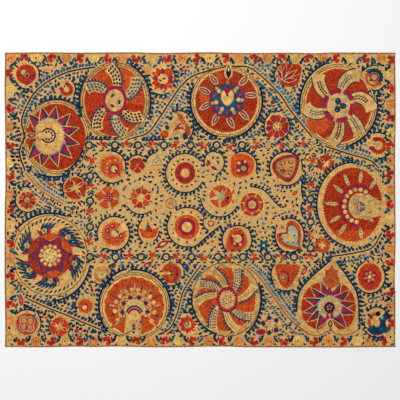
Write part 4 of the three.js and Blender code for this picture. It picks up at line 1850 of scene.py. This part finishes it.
# %% Silk pieces
def flat_map(mesh):
    """A plain map of a piece, seen from above, for baking its finish."""
    places = np.zeros(len(mesh.vertices) * 3, np.float32)
    mesh.vertices.foreach_get("co", places)
    corners = np.zeros(len(mesh.loops), np.int32)
    mesh.loops.foreach_get("vertex_index", corners)
    uv = mesh.uv_layers.new(name="OFBake")
    uv.data.foreach_set("uv", (places.reshape(-1, 3)[corners, :2] / (400 * UNIT) + 0.5).ravel())


piles = {}
for shape in work:
    pile = piles.setdefault(shape["thread"], Pile())
    laid = pad if "outline" in shape else ribbon
    laid(pile, shape, dice.uniform(-1, 1))
pieces = []
for thread, pile in piles.items():
    mesh = bpy.data.meshes.new("silk_" + thread)
    mesh.from_pydata(pile.places, [], pile.faces)
    lay_layer = mesh.attributes.new("lay", "FLOAT_VECTOR", "FACE")
    lay_layer.data.foreach_set("vector", np.array(pile.lays, np.float32).ravel())
    mesh.polygons.foreach_set("use_smooth", pile.smooth)
    mesh.materials.append(silks[thread])
    flat_map(mesh)
    silk = added(mesh.name, mesh)
    pieces.append(silk)
    print(silk.name, len(mesh.polygons), "faces")
print("layers at most:", layers.max())

# %% [markdown]
# ## Rows of leaves
# Leaves along a stem are one small pad that is repeated. Geometry Nodes walks along each row, drops a
# leaf at every spacing, turns it away from the stem and varies its size a little from a fixed seed. The
# seams' whip stitches and the overcast edging are rows of the same kind.

# %% Leaf shape
LEAF_DEPTH, LEAF_DOME = 1.2 * MM, 0.12 * MM  # how deep a leaf's rim reaches, and how high its middle stands
outline = leaf((0, 0), 1.0, 1.0, 0, blunt=0.75, count=5)  # of unit size, pointing along X
outline = outline if area_of(outline) > 0 else outline[::-1]
inner = outline + (outline.mean(axis=0) - outline) * 0.18
count = len(outline)
places = [(x, y, -LEAF_DEPTH) for x, y in outline] + [(x, y, 0.0) for x, y in inner]
places.append((*inner.mean(axis=0), LEAF_DOME))
faces = []
for k in range(count):
    after = (k + 1) % count
    faces.append((k, after, count + after, count + k))
    faces.append((count + k, count + after, 2 * count))
mesh = bpy.data.meshes.new("one_leaf")
mesh.from_pydata(places, [], faces)
mesh.polygons.foreach_set("use_smooth", [True] * len(faces))
one_leaf = bpy.data.objects.new("one_leaf", mesh)
print("one leaf has", len(faces), "faces")


# %% Row helpers
def attribute(tree, name):
    """A number that is kept on the row under a name."""
    node = tree.nodes.new("GeometryNodeInputNamedAttribute")
    node.data_type = "FLOAT"
    node.inputs["Name"].default_value = name
    return node.outputs["Attribute"]


def chance(tree, low, high, seed):
    """A random number for each leaf."""
    node = tree.nodes.new("FunctionNodeRandomValue")
    node.data_type = "FLOAT"
    plug(tree, low, node.inputs[2])
    plug(tree, high, node.inputs[3])
    plug(tree, seed, node.inputs["Seed"])
    return node.outputs[1]


def keep(tree, geometry, name, value, domain, kind="FLOAT"):
    """Stores a value on a geometry under a name."""
    node = tree.nodes.new("GeometryNodeStoreNamedAttribute")
    node.data_type = kind
    node.domain = domain
    node.inputs["Name"].default_value = name
    plug(tree, geometry, node.inputs["Geometry"])
    plug(tree, value, node.inputs["Value"])
    return node.outputs[0]


# %% Leaf row nodes
SWING = 0.22  # how far a leaf may turn from its lean, in radians
SIZES = (0.82, 1.18)  # the smallest and largest share of the row's leaf size
tree = bpy.data.node_groups.new("leaf_rows", "GeometryNodeTree")
row_inputs = {"Rows": "Geometry", "Leaf": "Object", "Silk": "Material", "Seed": "Int"}
row_sockets = {}
for label, kind in row_inputs.items():
    socket = tree.interface.new_socket(label, in_out="INPUT", socket_type="NodeSocket" + kind)
    row_sockets[label] = socket.identifier
tree.interface.new_socket("Leaves", in_out="OUTPUT", socket_type="NodeSocketGeometry")
given = tree.nodes.new("NodeGroupInput").outputs
to_curve = tree.nodes.new("GeometryNodeMeshToCurve")
tree.links.new(given["Rows"], to_curve.inputs["Mesh"])
to_points = tree.nodes.new("GeometryNodeCurveToPoints")
to_points.mode = "LENGTH"
tree.links.new(to_curve.outputs[0], to_points.inputs["Curve"])
tree.links.new(attribute(tree, "spacing"), to_points.inputs["Length"])
heading = parts_of(tree, to_points.outputs["Tangent"])
turn = maths(tree, "ARCTAN2", heading[1], heading[0])
turn = maths(tree, "ADD", turn, attribute(tree, "lean"))
turn = maths(tree, "ADD", turn, chance(tree, -SWING, SWING, given["Seed"]))
points = keep(tree, to_points.outputs["Points"], "turn", turn, "POINT")
turn = attribute(tree, "turn")
size = chance(tree, *SIZES, maths(tree, "ADD", given["Seed"], 1))
upright = tree.nodes.new("FunctionNodeEulerToRotation")
tree.links.new(joined(tree, 0.0, 0.0, turn), upright.inputs[0])

# %% Leaves on the rows
place = tree.nodes.new("GeometryNodeInstanceOnPoints")
shape = tree.nodes.new("GeometryNodeObjectInfo")
shape.inputs["As Instance"].default_value = True
tree.links.new(given["Leaf"], shape.inputs["Object"])
tree.links.new(points, place.inputs["Points"])
tree.links.new(shape.outputs["Geometry"], place.inputs["Instance"])
tree.links.new(upright.outputs[0], place.inputs["Rotation"])
long = maths(tree, "MULTIPLY", attribute(tree, "long"), size)
wide = maths(tree, "MULTIPLY", attribute(tree, "wide"), size)
tree.links.new(joined(tree, long, wide, 1.0), place.inputs["Scale"])
dye = chance(tree, -1.0, 1.0, maths(tree, "ADD", given["Seed"], 2))
run = joined(tree, maths(tree, "COSINE", turn), maths(tree, "SINE", turn), dye)
stored = keep(tree, place.outputs[0], "lay", run, "INSTANCE", "FLOAT_VECTOR")
realized = tree.nodes.new("GeometryNodeRealizeInstances")
tree.links.new(stored, realized.inputs[0])
dressed = tree.nodes.new("GeometryNodeSetMaterial")
tree.links.new(realized.outputs[0], dressed.inputs["Geometry"])
tree.links.new(given["Silk"], dressed.inputs["Material"])
tree.links.new(dressed.outputs[0], tree.nodes.new("NodeGroupOutput").inputs[0])
row_group = tree
print("the leaf row group has", len(tree.nodes), "nodes")

# %% Seams and edging
SEAM_END = 193.0  # how far along a seam its whip stitches go, from the middle
EDGING_LEVEL = 11.5  # the layer that lies on top of the edging
# stitches over the edging: thread, length, width and spacing
OVERCAST = {"across": ("rust", 1.4, 0.34, 1.6), "down": ("aubergine", 1.5, 0.6, 2.6)}
for name in PANELS[1:]:
    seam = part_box(name)[1][1] / UNIT
    whip = evenly(np.array(((-SEAM_END, seam), (SEAM_END, seam))), 4.0)
    leaf_rows.setdefault("rust", []).append((whip, 1.5, 0.3, 2.1, 62.0, -1))
for side in SIDES:
    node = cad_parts["edging_" + side]
    tops = np.array([v.co for v in node.data.vertices])
    tops = tops[tops[:, 2] > 0.98 * tops[:, 2].max()]
    crest = np.unique(tops[:, :2].round(5) / UNIT, axis=0)
    crest = crest[np.argsort(crest[:, 0 if side in ("top", "bottom") else 1])]
    crest = evenly(crest, 2.0)
    thread, length, width, spacing = OVERCAST["across" if side in ("top", "bottom") else "down"]
    foot = beside(crest, -0.4 * length)
    leaf_rows.setdefault(thread, []).append((foot, 0.85 * length, width, spacing, 66.0, EDGING_LEVEL))
print("seams and edging whipped")

# %% Rows made
for seed, (thread, rows) in enumerate(leaf_rows.items()):
    places, edges, values = [], [], {"lean": [], "spacing": [], "long": [], "wide": []}
    for path, length, width, spacing, lean, level in rows:
        start = len(places)
        places += [(x * UNIT, y * UNIT, height_of(level)) for x, y in path]
        edges += [(start + k, start + k + 1) for k in range(len(path) - 1)]
        row_values = (math.radians(lean), spacing * UNIT, length * UNIT, width * UNIT)
        for name, value in zip(values, row_values):
            values[name] += [value] * len(path)
    mesh = bpy.data.meshes.new("rows")
    mesh.from_pydata(places, edges, [])
    for name, column in values.items():
        mesh.attributes.new(name, "FLOAT", "POINT").data.foreach_set("value", column)
    rows_object = added("rows", mesh)
    nodes = rows_object.modifiers.new("leaves", "NODES")
    nodes.node_group = row_group
    for label, value in (("Leaf", one_leaf), ("Silk", silks[thread]), ("Seed", 10 * seed)):
        nodes[row_sockets[label]] = value
    graph = bpy.context.evaluated_depsgraph_get()
    grown = rows_object.evaluated_get(graph)
    made = bpy.data.meshes.new_from_object(grown, preserve_all_data_layers=True, depsgraph=graph)
    bpy.data.objects.remove(rows_object)
    made.name = "leaf_row_" + thread
    flat_map(made)
    silk = added(made.name, made)
    pieces.append(silk)
    print(silk.name, len(made.polygons), "faces")
bpy.data.objects.remove(one_leaf)
print("faces of silk in all:", sum(len(silk.data.polygons) for silk in pieces))

# %% [markdown]
# ## Edging
# A narrow woven band in ochre and brown is sewn over the rim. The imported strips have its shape, so they
# stay and only get a finish: slanting ribs across the band, with the brown showing through in short
# dashes.

# %% Edging finish
RIB_PITCH = 0.003  # from one slanting rib to the next
edging_inputs = {"Dye": "NodeSocketColor", "Second": "NodeSocketColor"}
tree, given, result = shader_group("edging_band", edging_inputs)
here = tree.nodes.new("ShaderNodeTexCoord").outputs["Object"]
at_x, at_y, _ = parts_of(tree, here)
slope = maths(tree, "ADD", at_x, at_y)
rib = maths(tree, "PINGPONG", maths(tree, "DIVIDE", slope, RIB_PITCH), 0.5)
dash = grade(tree, noise(tree, here, 70.0), 0.44, 0.58)
colour = blend(tree, dash, given["Dye"], given["Second"])
plug(tree, colour, result["Colour"])
plug(tree, rib, result["Height"])
result["Roughness"].default_value = 0.85
band_colours = {"Dye": linear(176, 122, 58), "Second": linear(120, 72, 34)}
band = cloth_material("edging_band", tree, band_colours, bump=0.0004)
for side in SIDES:
    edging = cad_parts["edging_" + side]
    edging.data.materials.clear()
    edging.data.materials.append(band)
print(len(SIDES), "lengths of edging finished")

# %% [markdown]
# ## Sewing it together
# The cloth doesn't move, so every loom width and every piece of silk rides on the one body, and the
# imported panels are hidden.

# %% Pieces and sheets
for cloth, name in zip(cloths, PANELS):
    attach(cloth, "root")
    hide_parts(name)
for silk in pieces:
    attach(silk, "root")
for cloth, name in zip(cloths, PANELS):
    low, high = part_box(name)
print(len(cloths), "sheets and", len(pieces), "pieces of silk")

# %% [markdown]
# ## Floor, light and camera
# The cloth lies on a plain pale floor and is seen from straight above, as it is in the photo. One broad
# soft light stands nearly overhead, a little to the upper left, and an even white surround fills the
# rest.

# %% Floor
FLOOR_REACH = 9.0
FLOOR_LEVEL = -0.5 * MM  # just under the cloth
corners = ((-1, -1), (1, -1), (1, 1), (-1, 1))
mesh = bpy.data.meshes.new("floor")
mesh.from_pydata([(x * FLOOR_REACH, y * FLOOR_REACH, FLOOR_LEVEL) for x, y in corners], [], [(0, 1, 2, 3)])
floor = added("floor", mesh)
paint = bpy.data.materials.new("floor_paint")
paint.use_nodes = True
floor_shader = paint.node_tree.nodes["Principled BSDF"]
floor_shader.inputs["Base Color"].default_value = (0.97, 0.97, 0.97, 1)
floor_shader.inputs["Roughness"].default_value = 0.9
floor_shader.inputs["Specular IOR Level"].default_value = 0.0
floor.data.materials.append(paint)

# %% Light
SURROUND = 0.43  # strength of the white surround
LAMP_PLACE = (-1.2, 1.6, 5.0)
LAMP_TILT = (-17, -13, 0)  # degrees, so that it looks at the cloth's middle
scene = bpy.context.scene
scene.view_settings.view_transform = "Standard"
world = bpy.data.worlds.new("surround")
world.use_nodes = True
world.node_tree.nodes["Background"].inputs["Color"].default_value = (1, 1, 1, 1)
world.node_tree.nodes["Background"].inputs["Strength"].default_value = SURROUND
scene.world = world
light = bpy.data.lights.new("soft_box", "AREA")
light.shape = "SQUARE"
light.size = 6.0
light.energy = 236
lamp = added("soft_box", light)
lamp.location = LAMP_PLACE
lamp.rotation_euler = [math.radians(tilt) for tilt in LAMP_TILT]
print("soft light of", light.energy, "W,", LAMP_PLACE[2], "m up")

# %% Camera
FRAME_PX = 400  # the photo is square
camera_data = bpy.data.cameras.new("camera")
camera_data.lens = 85
camera_data.sensor_width = 36
camera = added("camera", camera_data)
reach = FRAME_PX * UNIT * camera_data.lens / camera_data.sensor_width
middle = spot(FRAME_PX / 2, FRAME_PX / 2) * UNIT
camera.location = (middle[0], middle[1], reach + COTTON_TOP)
scene.camera = camera
print("camera", round(camera.location[2], 2), "m above the floor")
